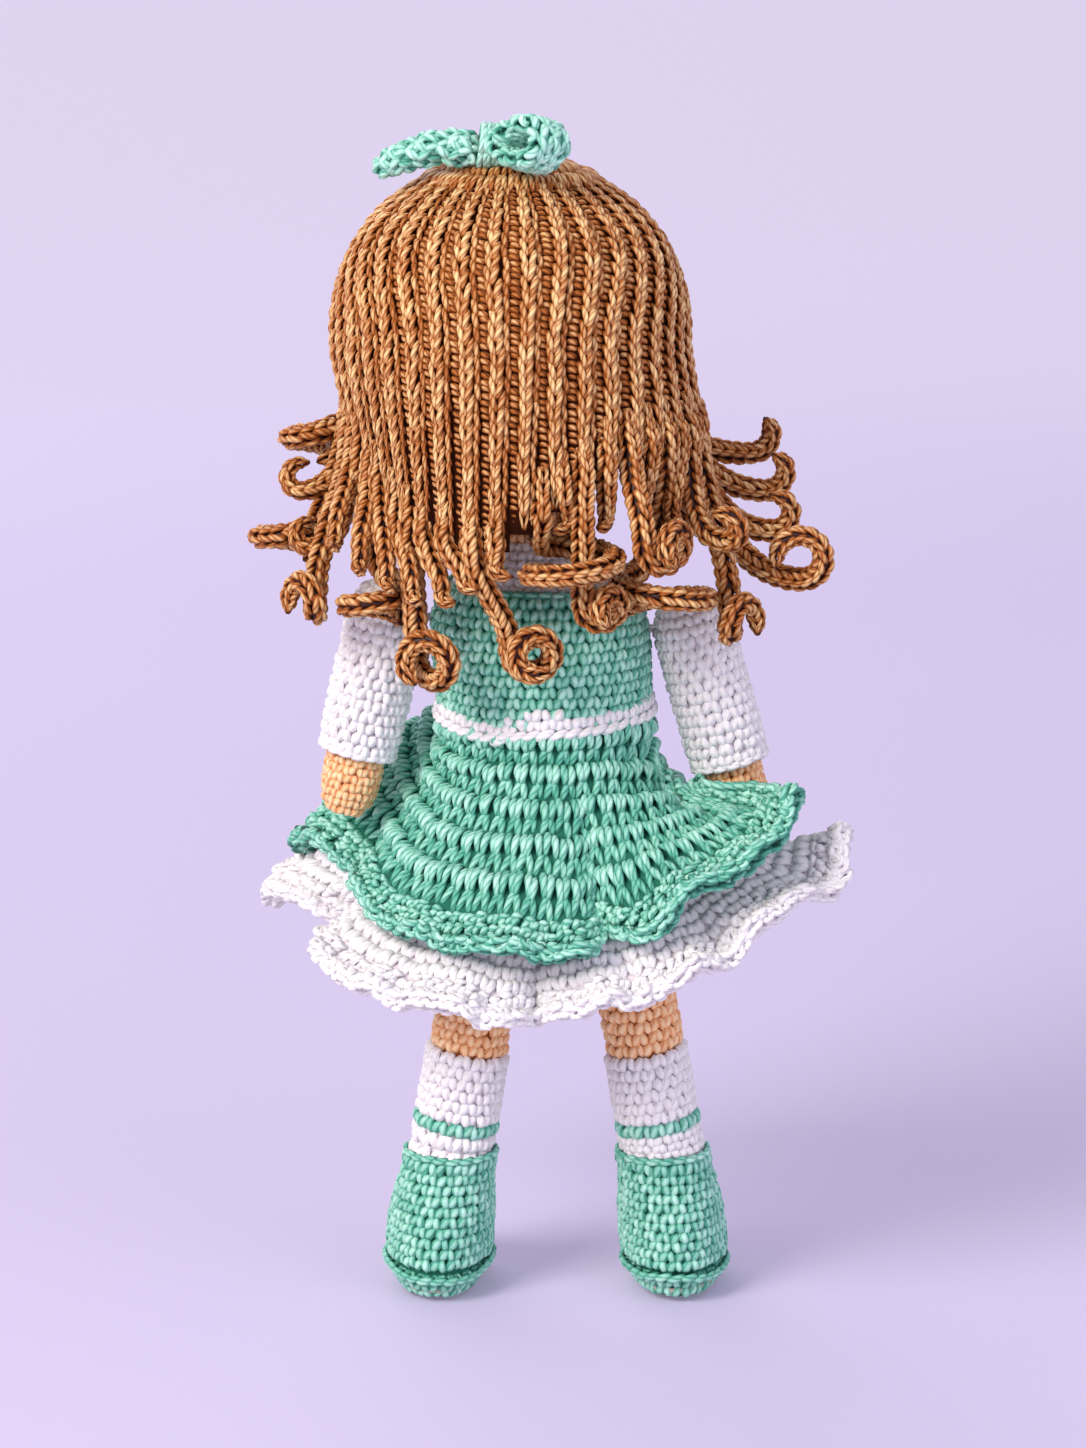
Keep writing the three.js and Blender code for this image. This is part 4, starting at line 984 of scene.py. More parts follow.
def chain(surface, us, vs, radius=0.85, length=4.6, width=3.2, slant=0.32, facing=1):
    # slanted loops that overlap along a line of places on a surface, as a worked edge shows
    us, vs = np.asarray(us, float), np.asarray(vs, float)
    reach = reachAlong(surface(us, vs))
    places = np.arange(width / 2, reach[-1], width)
    a = np.linspace(-0.5, 0.5, 7)
    s = places[:, None] + a * length
    u, v = np.interp(s, reach, us), np.interp(s, reach, vs)
    point = surface(u, v)
    out = normals(surface, u, v, 0.002, 0.2, facing)
    rise = np.cross(out, unit(np.gradient(point, axis=1)))
    aside = rng.normal(0, chainPlan["aside"], (len(places), 1))
    lean = slant * length * np.sin(a * math.pi) / 2 + aside
    line = point + rise * lean[..., None] + out * (chainPlan["high"] * np.cos(a * math.pi))[:, None]
    thick = radius * np.array(chainPlan["swell"]) * rng.uniform(*chainPlan["thickness"], (len(places), 1))
    return yarnTubes(line, out, thick, chainPlan["flat"])


def edgeRound(surface, v, slant, facing=1):
    turn = np.linspace(0, 1, 121)
    return chain(surface, turn, np.full(turn.shape, v), slant=slant, facing=facing)


# Small loops that hang from an edge: one in its widths, heights and millimetres outwards, how far it
# strays in millimetres, and the least and most of its height, width and way outwards as shares
loopPlan = {
    "line": [(-0.3, -0.9, -0.3), (-0.5, 0, 0.4), (0, 0.75, 0.7), (0.5, 0, 0.4), (0.3, -0.9, -0.3)],
    "aside": 0.25,
    "tall": (0.5, 1.3),
    "wide": (0.8, 1.3),
    "out": (-1.2, 1.6),
    "flat": 0.9,
}


def loopEdge(surface, v, down, radius, width, reach, facing=-1):
    # the loops stand side by side along the hem, each a little differently
    us = np.linspace(0, 1, 721)
    length = reachAlong(surface(us, np.full(us.shape, v)))
    places = np.arange(width / 2, length[-1], width)
    places = places + rng.normal(0, loopPlan["aside"], len(places))
    each = (len(places), 1)
    shape = smoothLines([loopPlan["line"]], 8)[0]
    tall = reach * rng.uniform(*loopPlan["tall"], each)
    s = places[:, None] + shape[:, 0] * width * rng.uniform(*loopPlan["wide"], each)
    u = np.interp(s, length, us)
    point = surface(u, v + shape[:, 1] * tall * down)
    out = normals(surface, u, np.full(u.shape, v), 0.003, 0.01, facing)
    point = point + out * (shape[:, 2] * rng.uniform(*loopPlan["out"], each))[..., None]
    return yarnTubes(point, out, radius, loopPlan["flat"])


# Stitches lie on a surface sunk by one part of the yarn, and the cloth a little deeper, in millimetres
bodyPlan = {"stitchDepth": 0.9, "clothDepth": 1.3, "showsFrom": 184, "bottom": 98.8, "fill": 0.9}


def bodyPieces():
    neckBase = doll["neckBase"]
    blouse = torso(-bodyPlan["stitchDepth"])
    crocheted("body_stitches", blouse, bodyPlan["showsFrom"], neckBase, "white", "torso")
    levels = np.linspace(bodyPlan["bottom"], neckBase, 30)
    cloth = clothPiece(
        "body_cloth", torso(-bodyPlan["clothDepth"]), roundUs(48), levels, "white", "torso",
        ["body_cover", "body_stuffing"],
    )
    crocheted("neck_stitches", neck, neckBase, doll["neckTop"], "skin", "torso", ["neck_cover"])


# it starts under the belt, and its edge stands a little above its last round
bodicePlan = {
    "out": 1.0,
    "clothOut": 0.5,
    "low": 154.2,
    "tuckedIn": 3,
    "clothTuckedIn": 6,
    "edgeDepth": 0.1,
    "edgeRise": 0.4,
    "edgeSlant": 0.12,
}


def bodicePieces():
    low, high, rise = bodicePlan["low"], doll["bodiceTop"], bodicePlan["edgeRise"]
    batches = stitched(torso(bodicePlan["out"]), low - bodicePlan["tuckedIn"], high)
    edge = torso(bodicePlan["out"] - bodicePlan["edgeDepth"])
    batches.append(edgeRound(edge, high + rise, bodicePlan["edgeSlant"]))
    yarnPiece("bodice_stitches", batches, "mint", "torso")
    levels = np.linspace(low - bodicePlan["clothTuckedIn"], high - rise, 12)
    within = torso(bodicePlan["clothOut"])
    clothPiece("bodice_cloth", within, roundUs(64), levels, "mint", "torso", ["bodice"])


# the belt ends where its round meets its own start, a step lower; heights by place round the waist
beltPlan = {
    "low": 150.2,
    "row": 152.6,
    "rowOut": 1.5,
    "rowHeight": 2.9,
    "cordOut": 2.0,
    "cord": {"radius": 0.95, "length": 5, "width": 3.4},
    "join": 0.2,
    "bend": [(0, 2), (0.1, 0), (0.185, -1.8), (0.215, -0.2), (0.35, 1.3), (0.5, 3), (0.75, 2.8), (1, 2)],
    "overlap": 0.045,
    "start": 0.011,
    "end": 0.99,
    # place round the waist, height, width and height of the stitches that stand above the join
    "over": [(0.204, 153.6, 0.026, 2.6), (0.232, 155.1, 0.026, 2.6), (0.262, 155.4, 0.026, 2.4)],
    "overOut": 1.7,
    "overLoose": 0.1,
}


def beltPieces():
    single = stitches["single"]

    def bend(u):
        return np.interp(np.mod(u, 1), *np.transpose(beltPlan["bend"]))

    surface = torso(beltPlan["rowOut"])
    cells = roundCells(surface, beltPlan["row"], beltPlan["rowHeight"], single["width"])
    cells[:, 1] += bend(cells[:, 0])
    batches = layStitches(surface, cells, single)
    join = beltPlan["join"]
    turn = np.linspace(join - beltPlan["overlap"], join + 1, 160)
    climb = beltPlan["low"] + bend(np.clip(turn, join + beltPlan["start"], join + beltPlan["end"]))
    batches.append(chain(torso(beltPlan["cordOut"]), turn, climb, **beltPlan["cord"]))
    above, cells = torso(beltPlan["overOut"]), np.array(beltPlan["over"])
    batches += layStitches(above, cells, single, loose=beltPlan["overLoose"])
    yarnPiece("belt_stitches", batches, "white", "torso", ["belt"])


# Rows and hems of both skirts: shares of the way down, and the hem's loops as their share down, their
# drop, the yarn's radius, their width and their reach, on how many millimetres outside the cloth
hemPlan = {
    "skirt": {
        "rows": (-0.07, 0.86, 5), "stitch": "double", "edges": 3,
        "loops": [(1.0, 0.016, 0.9, 3.0, 1.5), (0.98, 0.016, 0.88, 2.7, 1.3)],
        "outside": (1.9, (0.985, 0.014, 0.95, 2.8, 1.2)),
        "inside": (-1.7, (0.985, 0.014, 0.95, 3.0, 1.2)),
    },
    "petticoat": {
        "rows": (0.3, 0.9, 10), "stitch": "single", "edges": 2,
        "loops": [
            (1.0, 0.018, 0.92, 2.9, 1.6), (0.982, 0.018, 0.9, 2.6, 1.4), (0.955, 0.018, 0.88, 2.7, 1.3),
        ],
        "outside": (2.0, (0.985, 0.014, 0.95, 2.8, 1.3)),
        "inside": (-1.8, (0.985, 0.014, 0.95, 3.0, 1.3)),
    },
}


def skirtRows(surface, edges, stitch):
    rows = []
    for k in range(len(edges) - 1):
        middle = (edges[k] + edges[k + 1]) / 2
        drop = edges[k] - edges[k + 1]
        rows.append(roundCells(surface, middle, drop, stitch["width"], offset=0.37 * k % 1))
    return np.concatenate(rows)


def hemmedCloth(name, plan, yarn, innerStep):
    # the outside, the inside and the cloth between them
    hemmed = hemPlan[name]
    half, loose = plan["thick"] * clothShape["faceShare"], clothShape["edgeLoose"]
    surface, within = flaredCloth(plan, half), flaredCloth(plan, -half)
    steps = (0.003, 0.01)
    start, end, count = hemmed["rows"]
    stitch, edge = stitches[hemmed["stitch"]], stitches["edge"]
    rows = skirtRows(surface, np.linspace(start, end, count + 1), stitch)
    batches = layStitches(surface, rows, stitch, -1, steps)
    hem = skirtRows(surface, np.linspace(end, 1, hemmed["edges"] + 1), edge)
    batches += layStitches(surface, hem, edge, -1, steps, loose)
    for loops in hemmed["loops"]:
        batches.append(loopEdge(surface, *loops))
    for side, facing in (("outside", -1), ("inside", 1)):
        grow, loops = hemmed[side]
        batches.append(loopEdge(flaredCloth(plan, grow), *loops, facing))
    yarnPiece(f"{name}_stitches", batches, yarn, "torso")
    inner = layStitches(within, rows, stitch, 1, steps)[::innerStep]
    inner += layStitches(within, hem, edge, 1, steps, loose)[:2]
    yarnPiece(f"{name}_inside", inner, yarn, "torso")
    middle, us, levels, thick = flaredCloth(plan), roundUs(180), np.linspace(0, 1, 26), clothShape["thick"]
    return clothPiece(f"{name}_cloth", middle, us, levels, yarn, "torso", [name], thick)


def skirtPieces():
    # its long legs show once on the inside, so every other strand is enough there
    return hemmedCloth("skirt", skirtPlan, "mint", 2)


def petticoatPieces():
    return hemmedCloth("petticoat", petticoatPlan, "white", 1)


# radii, and heights where each cover starts, below the one over it
legCover = {
    "legRadius": 8.7,
    "legFrom": 65,
    "legCloth": 8.4,
    "clothFrom": 60,
    "tuckedUp": 2,
    "fill": 0.95,
    "sockRadius": 9.6,
    "sockFrom": 36,
    "sockCloth": 9.2,
    "sockClothFrom": 34,
    "sockEdge": 0.3,
    "stripeRadius": 9.8,
    "stripeHalf": 1.6,
}


def legPieces(name, side):
    top = doll["crotch"] + legCover["tuckedUp"]
    leg = legTube(side, legCover["legRadius"])
    crocheted(f"leg_stitches_{name}", leg, legCover["legFrom"], top, "skin", "torso")
    within, levels = legTube(side, legCover["legCloth"]), np.linspace(legCover["clothFrom"], top, 9)
    covers = [f"leg_{name}", f"leg_stuffing_{name}"]
    cloth = clothPiece(f"leg_cloth_{name}", within, roundUs(40), levels, "skin", "torso", covers)
    low, high = legPlan["stripe"] - legCover["stripeHalf"], legPlan["stripe"] + legCover["stripeHalf"]
    tube = legTube(side, legCover["sockRadius"])
    crocheted(f"sock_top_{name}", tube, high, legPlan["sockTop"], "white", "torso", [f"sock_{name}"])
    crocheted(f"sock_ankle_{name}", tube, legCover["sockFrom"], low, "white", "torso")
    band = legTube(side, legCover["stripeRadius"])
    crocheted(f"sock_stripe_stitches_{name}", band, low, high, "mint", "torso", [f"sock_stripe_{name}"])
    inside = legTube(side, legCover["sockCloth"])
    levels = np.linspace(legCover["sockClothFrom"], legPlan["sockTop"] - legCover["sockEdge"], 8)
    clothPiece(f"sock_cloth_{name}", inside, roundUs(40), levels, "white", "torso")


# heights on the shoe in millimetres; the ridge where sole and upper meet waves a little
shoeCover = {
    "stitchDepth": 0.9,
    "clothDepth": 1.4,
    "collarDepth": 0.6,
    "edgeDepth": 0.3,
    "ridgeDepth": 0.1,
    "upper": (9.4, 34),
    "collar": (33.6, 37.6),
    "sole": (1.7, 7.6),
    "cloth": (1.2, 37.5),
    "edge": 37.8,
    "edgeSlant": 0.15,
    "ridge": 7.2,
    "ridgeWaves": ((2, 0.6), (5, 0.3)),
    "ridgeTurn": 0.2,
    "ridgeCord": {"radius": 0.95, "length": 5, "slant": 0.25},
}


def shoePieces(name, side):
    sunk = shoe(side, -shoeCover["stitchDepth"])
    crocheted(f"shoe_stitches_{name}", sunk, *shoeCover["upper"], "mint", "torso", [f"shoe_upper_{name}"])
    rim = stitched(shoe(side, -shoeCover["collarDepth"]), *shoeCover["collar"])
    edge = shoe(side, -shoeCover["edgeDepth"])
    rim.append(edgeRound(edge, shoeCover["edge"], shoeCover["edgeSlant"]))
    yarnPiece(f"shoe_collar_stitches_{name}", rim, "mint", "torso", [f"shoe_collar_{name}"])
    sole = stitched(sunk, *shoeCover["sole"])
    turn = np.linspace(0, 1, 121)
    (slow, high), (quick, low) = shoeCover["ridgeWaves"]
    ridge = shoeCover["ridge"] + high * np.sin(fullTurn * (slow * turn + shoeCover["ridgeTurn"] * side))
    ridge += low * np.sin(fullTurn * quick * turn)
    proud = shoe(side, -shoeCover["ridgeDepth"])
    sole.append(chain(proud, turn, ridge, **shoeCover["ridgeCord"]))
    yarnPiece(f"sole_stitches_{name}", sole, "mint", "torso", [f"sole_{name}"])
    levels = np.linspace(*shoeCover["cloth"], 20)
    within = shoe(side, -shoeCover["clothDepth"])
    clothPiece(f"shoe_cloth_{name}", within, roundUs(48), levels, "mint", "torso")


# rings of stitches that close the sole from below, as shares of the way to its rim
padPlan = {"height": 1.6, "rimHeight": 1.5, "rimDepth": 1.2, "first": 0.12, "step": 0.19, "size": 0.8}


def solePad(name, side):
    outline = shoe(side, -padPlan["rimDepth"])
    low = padPlan["rimHeight"]
    centre = outline(np.linspace(0, 1, 32, endpoint=False), np.full(32, low)).mean(0)

    def surface(u, share):
        rim = outline(u, np.full(np.shape(u), low))
        point = centre + (rim - centre) * np.asarray(share)[..., None]
        point[..., 2] = padPlan["height"]
        return point

    single, step = stitches["single"], padPlan["step"]
    shares = np.arange(padPlan["first"], 1, step)
    rings = [roundCells(surface, v, -step, single["width"], offset=0.3 * v) for v in shares]
    cells = np.concatenate(rings)
    batches = layStitches(surface, cells, single, 1, (0.004, 0.01), size=padPlan["size"])
    return yarnPiece(f"sole_pad_{name}", batches, "mint", "torso")


# depths below the solids' surfaces and places along sleeve and hand, in millimetres
armCover = {
    "stitchDepth": 0.9,
    "clothDepth": 1.4,
    "edgeDepth": 0.6,
    "edgeSlant": 0.15,
    "shoulder": 1.2,
    "clothFrom": 0.4,
    "clothEdge": 0.3,
    "handDepth": 0.7,
    "handCloth": 1.2,
    "hand": (0.7, 22),
    "handClothFrom": 0.3,
    "fill": 0.9,
}


def armPieces(side):
    body = f"arm_{side}"
    reach = armPlan["sleeveRadius"] * math.pi / 2 + armPlan["sleeveLength"]
    batches = stitched(
        sleeve(side, -armCover["stitchDepth"]), armCover["shoulder"], reach, facing=-1, upwards=False
    )
    batches.append(edgeRound(sleeve(side, -armCover["edgeDepth"]), reach, armCover["edgeSlant"], -1))
    yarnPiece(f"sleeve_stitches_{side}", batches, "white", body, [f"sleeve_{side}"])
    within = sleeve(side, -armCover["clothDepth"])
    levels = np.linspace(armCover["clothFrom"], reach - armCover["clothEdge"], 20)
    stuffing = [f"arm_stuffing_{side}"]
    cloth = clothPiece(f"sleeve_cloth_{side}", within, roundUs(40), levels, "white", body, stuffing)
    palm = hand(side, -armCover["handDepth"])
    crocheted(f"hand_stitches_{side}", palm, *armCover["hand"], "skin", body, [f"hand_{side}"], "fine")
    within = hand(side, -armCover["handCloth"])
    levels = np.linspace(armCover["handClothFrom"], armCover["hand"][1], 12)
    clothPiece(f"hand_cloth_{side}", within, roundUs(32), levels, "skin", body)


# rounds on the head in millimetres down from its top: all the way over the face, and under the wig
# only where they show; the face lies between half a turn and a whole one
headCover = {"stitchDepth": 0.9, "clothDepth": 1.4, "face": (20, 121), "nape": (84, 121), "fill": 0.95}


def headPieces():
    surface = ball(doll["headRadius"] - headCover["stitchDepth"])
    single = stitches["single"]
    cells = np.concatenate([
        rounds(surface, *headCover["face"], single, (0.5, 1.0), False),
        rounds(surface, *headCover["nape"], single, (0.0, 0.5), False),
    ])
    batches = layStitches(surface, cells, single, -1)
    yarnPiece("head_stitches", batches, "skin", "head", ["head_cover", "head_stuffing"])
    within = ball(doll["headRadius"] - headCover["clothDepth"])
    cloth = clothPiece("head_cloth", within, roundUs(72), np.linspace(0.5, 119, 40), "skin", "head")


# depths below the wig's surface, lengths and ends in millimetres, the rest in shares; strands are full
# where they are wide enough, narrow at the crown and slim at their tips
hairCover = {
    "stitchDepth": 2.3,
    "clothDepth": 3.0,
    "crownDepth": 1.7,
    "crownCloth": 2.3,
    "past": 2.5,
    "firstRow": (0.2, 0.7),
    "swayShares": (0.001, 0.004),
    "swayLength": 13,
    "swayStart": (0, 6),
    "loose": 0.028,
    "fullness": (0.68, 1.0),
    "slimTip": (6, 0.6),
    "drawnIn": 0.26,
    "drawnFrom": 8,
    "stripBulge": 0.8,
    "stripShare": 0.98,
    "stripPast": (2, 1.5),
    "stripThick": 1.0,
    "crownStart": 1.2,
    "crownPast": 1,
    "crownClothReach": (0.3, 24),
}


def hairCap():
    surface = wig(hairCover["stitchDepth"])
    strand = stitches["strand"]
    count = hairPlan["strands"]
    cells = []
    for k in range(count):
        place, curved, length = strandReach(k)
        rows = round(length / strand["height"])
        s = (np.arange(rows) + rng.uniform(*hairCover["firstRow"])) * length / rows
        span = 2 / count * strandNarrow(s, curved, length)
        sway = rng.uniform(*hairCover["swayShares"])
        sway = sway * np.sin(s / hairCover["swayLength"] + rng.uniform(*hairCover["swayStart"]))
        cells.append(np.stack([place + sway, s, span, np.full(rows, -length / rows)], -1))
    cells = np.concatenate(cells)
    beside = surface(cells[:, 0] + 0.01, cells[:, 1]) - surface(cells[:, 0] - 0.01, cells[:, 1])
    width = np.linalg.norm(beside, axis=1) / 0.02 * cells[:, 2]
    full = np.clip(width / strand["width"], *hairCover["fullness"])[:, None]
    left = hairLength(cells[:, 0])[1] + hairCover["past"] - cells[:, 1]
    slimFrom, slimmest = hairCover["slimTip"]
    full *= np.clip(left / slimFrom, slimmest, 1)[:, None]
    batches = layStitches(surface, cells, strand, 1, (0.004, 0.3), hairCover["loose"], full)
    yarnPiece("hair_stitches", batches, "hair", "head", ["hair_cap"])
    edge = doll["hairRadius"] * hairPlan["crownAngle"] * degree
    crown = ball(doll["hairRadius"] - hairCover["crownDepth"])
    start, end = hairCover["crownStart"], edge + hairCover["crownPast"]
    yarnPiece("crown_stitches", stitched(crown, start, end, "crown", -1, False), "hair", "head")
    hairCloth()
    within = ball(doll["hairRadius"] - hairCover["crownCloth"])
    levels = np.linspace(*hairCover["crownClothReach"], 12)
    clothPiece("crown_cloth", within, roundUs(64), levels, "hair", "head")


def strandReach(k):
    # the strand's place round the wig, and how far down it leaves the head and ends
    place = -1 + (2 * k + 1) / hairPlan["strands"]
    curved, length = (float(x) for x in hairLength(place))
    return place, curved, length + hairCover["past"]


def strandNarrow(s, curved, length):
    # towards its end each strand draws in and stands free of its neighbours
    start = curved + hairCover["drawnFrom"]
    return 1 - hairCover["drawnIn"] * np.clip((s - start) / np.maximum(length - start, 1), 0, 1)


def hairCloth():
    # a strip behind each strand, which bulges towards it; its dark colour is painted shade between the
    # strands
    surface = wig(hairCover["clothDepth"])
    count = hairPlan["strands"]
    bow = np.linspace(-1, 1, 5)
    before, after = hairCover["stripPast"]
    strips = []
    for k in range(count):
        place, _, length = strandReach(k)
        s = np.linspace(-before, length + after, 30)[:, None]
        s, across = np.broadcast_arrays(s, bow * hairCover["stripShare"] / count)
        out = normals(surface, place + across, s, 0.004, 0.3)
        bulge = hairCover["stripBulge"] * (1 - bow**2)
        strips.append(surface(place + across, s) + out * bulge[:, None])
    points = np.array(strips)
    index = np.arange(points[..., 0].size).reshape(points.shape[:3])
    quads = np.stack([index[:, :-1, :-1], index[:, :-1, 1:], index[:, 1:, 1:], index[:, 1:, :-1]], -1)
    piece = meshFrom("hair_cloth", points.reshape(-1, 3), quads.ravel(), np.full(quads.size // 4, 4))
    thicken(piece, hairCover["stripThick"])
    finishPiece(piece, cloths["hair"], "head", [])


# Curls: a strand's place on the wig's edge, where its ring lies round the head, how far out and down
# as shares of the hair radius, the ring's own share, its turns, and how it faces: 0 lies flat,
# 1 stands facing outwards and 2 hooks up and outwards
curlPlan = {
    "radius": 2.9,
    "turnGap": 1.4,
    "closing": 0.12,
    "leave": 0.4,
    "arrive": 0.35,
    # where it starts behind its strand's last stitches, in millimetres above the strand's end
    "behind": (9.0, 6.0, 3.0),
    "behindDepth": 0.8,
    # a cord's thickness where it starts and at its tip, and the loose strands', in millimetres
    "cord": (1.9, 1.5),
    "looseCord": (1.6, 1.0),
    "slimStart": 0.55,
    "slimLength": 9,
    "slimCurve": 4,
    "tipPast": 0.6,
    "tipLeast": 0.05,
    "loose": 0.014,
    "coreDepth": 0.3,
    "coreStart": [0.5, 0.6, 0.8],
    "shares": {
        "a": (0.93, 0.588, 1.153, 0.561, 0.135, 1.1, 0),
        "b": (0.76, 0.494, 1.233, 1.054, 0.170, 1.1, 0),
        "c": (0.62, 0.374, 1.106, 1.390, 0.099, 1.1, 1),
        "d": (0.52, 0.310, 0.896, 1.334, 0.166, 1.1, 0),
        "e": (0.3, 0.155, 0.838, 1.670, 0.126, 1.15, 1),
        "f": (0.1, -0.045, 0.793, 1.626, 0.112, 1.3, 1),
        "g": (-0.08, -0.113, 0.933, 1.065, 0.247, 1.1, 0),
        "h": (-0.18, -0.164, 0.954, 1.368, 0.090, 1.1, 1),
        "i": (-0.3, -0.246, 1.142, 1.043, 0.108, 1.1, 1),
        "k": (-0.42, -0.307, 1.023, 1.278, 0.247, 1.05, 0),
        "j": (-0.52, -0.364, 1.294, 0.987, 0.090, 0.5, 2),
        "l": (-0.62, -0.366, 1.265, 1.491, 0.099, 1.1, 1),
        "p": (-0.71, -0.438, 1.623, 1.188, 0.135, 0.75, 2),
        "o": (-0.8, -0.502, 1.446, 0.996, 0.112, 0.45, 2),
        "n": (-0.88, -0.553, 1.443, 0.807, 0.112, 0.4, 2),
        "m": (-0.97, -0.616, 1.451, 0.639, 0.112, 0.35, 2),
    },
}


def curlLine(place, azimuth, reach, drop, ring, turns, facing):
    head = doll["hairRadius"]
    root = wig(hairPlan["thick"] / 2)(place, hairLength(place)[1]) - headCentre
    centre = aroundHead(math.pi * azimuth, head * reach, -head * drop)
    outward = aroundHead(math.pi * azimuth, 1, 0)
    level = np.array([outward[1], -outward[0], 0])
    down = np.array([0, 0, -1])
    side = np.sign((root - centre) @ level) or 1
    first = [-outward, level * side, down][facing]
    second = [-level * side, down, outward][facing]
    axis = [down, outward, level][facing]
    pitch = 2 * curlPlan["radius"] + curlPlan["turnGap"]
    share = np.linspace(0, 1, 80)[:, None]
    angle = fullTurn * turns * share
    radius = head * ring * (1 - curlPlan["closing"] * share)
    loop = centre + first * radius * np.cos(angle) + second * radius * np.sin(angle)
    loop = loop + axis * pitch * turns * share
    span = np.linalg.norm(root - loop[0])
    leave, arrive = root + down * span * curlPlan["leave"], loop[0] - second * span * curlPlan["arrive"]
    t = np.linspace(0, 1, 40)[:-1, None]
    ends = (1 - t) ** 3 * root + t**3 * loop[0]
    fall = ends + 3 * t * (1 - t) ** 2 * leave + 3 * t * t * (1 - t) * arrive
    within = wig(hairPlan["thick"] / 2 + curlPlan["behindDepth"])
    behind = within(place, hairLength(place)[1] - np.array(curlPlan["behind"]))
    return np.concatenate([behind, np.concatenate([fall, loop]) + headCentre])


# Strands that show no curl of their own hang between the others and end behind them
looseStrands = [
    (0.036, 0.01, 0.93, 1.14, 0.05, 0.25, 1),
    (0.179, 0.07, 0.9, 1.22, 0.05, 0.25, 1),
    (0.25, 0.115, 0.9, 1.3, 0.05, 0.3, 1),
    (0.36, 0.175, 0.92, 1.3, 0.05, 0.3, 1),
    (0.43, 0.225, 0.96, 1.24, 0.05, 0.3, 1),
    (0.47, 0.275, 1.02, 1.16, 0.05, 0.3, 1),
    (0.57, 0.33, 1.06, 1.05, 0.05, 0.3, 1),
    (0.68, 0.42, 1.14, 1.08, 0.07, 0.5, 2),
    (0.84, 0.53, 1.18, 0.82, 0.08, 0.5, 2),
    (-0.13, -0.09, 0.9, 0.9, 0.05, 0.25, 1),
    (-0.24, -0.17, 0.93, 0.9, 0.05, 0.25, 1),
    (-0.36, -0.24, 0.97, 0.92, 0.05, 0.25, 1),
    (-0.47, -0.31, 1.02, 0.92, 0.05, 0.25, 1),
    (-0.57, -0.39, 1.08, 0.96, 0.05, 0.3, 2),
]


# a tone so low that the yarn shows its deep colour only, as painted shade inside a cord
coreShadeTone = -3.0


def cordBatches(line, thick, tip):
    # the ridge of the cord faces outwards where it starts, and its tip is round
    length = reachAlong(line)[-1]
    outward = (line[0] - headCentre) * np.array([1, 1, 0])

    def radiusAt(s):
        rest = np.clip((length + curlPlan["tipPast"] - s) / tip, curlPlan["tipLeast"], 1)
        slim = curlPlan["slimStart"]
        start = slim + (1 - slim) * np.clip(s / curlPlan["slimLength"], 0, 1)
        slimmer = (tip - thick) * np.clip(s / length, 0, 1) ** curlPlan["slimCurve"]
        return (thick + slimmer) * np.sqrt(1 - (1 - rest) ** 2) * start

    surface = alongLine(line, radiusAt, outward)
    cord = stitches["cord"]
    count = round((length + 2) / cord["height"])
    s = np.linspace(-1, length, count)
    step = (length + 1) / (count - 1)
    narrow = np.clip(radiusAt(s) / thick, 0.5, 1)[:, None]
    cells = np.stack([np.zeros(count), s, np.ones(count), np.full(count, -step)], -1)
    batches = layStitches(surface, cells, cord, 1, (0.02, 0.2), curlPlan["loose"], narrow)
    # a core painted dark, as the shade inside the cord, fills it
    core = line[::3]
    outs = np.tile([0.3, 0.5, 0.8], (1, len(core), 1))
    first = curlPlan["coreStart"]
    shares = np.concatenate([first, np.ones(len(core) - len(first))])
    coreRadius = (thick - curlPlan["coreDepth"]) * shares
    return [*batches, yarnTubes([core], outs, coreRadius, 1, 8, np.array([coreShadeTone]))]


def curlPiece(letter, shares):
    batches = cordBatches(curlLine(*shares), *curlPlan["cord"])
    yarnPiece(f"curl_stitches_{letter}", batches, "hair", "head", [f"curl_{letter}"])


def loosePiece():
    batches = []
    for shares in looseStrands:
        batches += cordBatches(curlLine(*shares), *curlPlan["looseCord"])
    yarnPiece("loose_strands", batches, "hair", "head")


# Bow: a knot of wraps and, on each side, a band of open V's round a core; the shares are the band's
# outline, out and up along its length
bowPlan = {
    "offset": 4,
    "tilt": 15,
    "raised": 0.6,
    "knotRadius": 3.3,
    "wraps": 7,
    "wrapInset": 0.4,
    "wrapSway": 0.4,
    "wrapReach": (4.7, 5.3),
    "wrapFlatter": 0.2,
    "wrapTint": (0.6, 1.4),
    "wrapRadius": 0.72,
    "coreRadius": 1.5,
    "coreShare": 0.45,
    "gap": 0.3,
    "edgeDepth": 0.4,
    "faceDepth": 0.2,
    "squareness": 0.7,
    "loose": 0.03,
    "fullWidth": {"left": 7.4, "right": 10.6},
    "taper": {"left": 0.42, "right": 0.0},
    "bandThick": 2.4,
    "lengths": {"left": 24, "right": 18.5},
    "shares": {
        "left": [(0, 0.04), (0.35, 0.11), (0.7, 0.02), (1, -0.2), (0.7, -0.11), (0.35, -0.03), (0, -0.08)],
        "right": [(0, 0.1), (0.4, 0.27), (0.8, 0.27), (1, 0.04), (0.8, -0.22), (0.4, -0.24), (0, -0.1)],
    },
    "turns": {"left": (-34, 6, 0), "right": (-24, -15, 130)},
}


def bowPlace(turns=(0, 0, 0)):
    # the order is x first, then y, then z, and last the whole bow leans back on the head
    own = np.array(Euler([a * degree for a in turns], "XYZ").to_matrix())
    tilt = bowPlan["tilt"] * degree
    whole = np.array(Euler((-tilt, 0, 0)).to_matrix())
    seat = doll["hairRadius"] + bowPlan["raised"] + bowPlan["knotRadius"]
    origin = headCentre + np.array([bowPlan["offset"], seat * math.sin(tilt), seat * math.cos(tilt)])
    return lambda points: points @ (whole @ own).T + origin


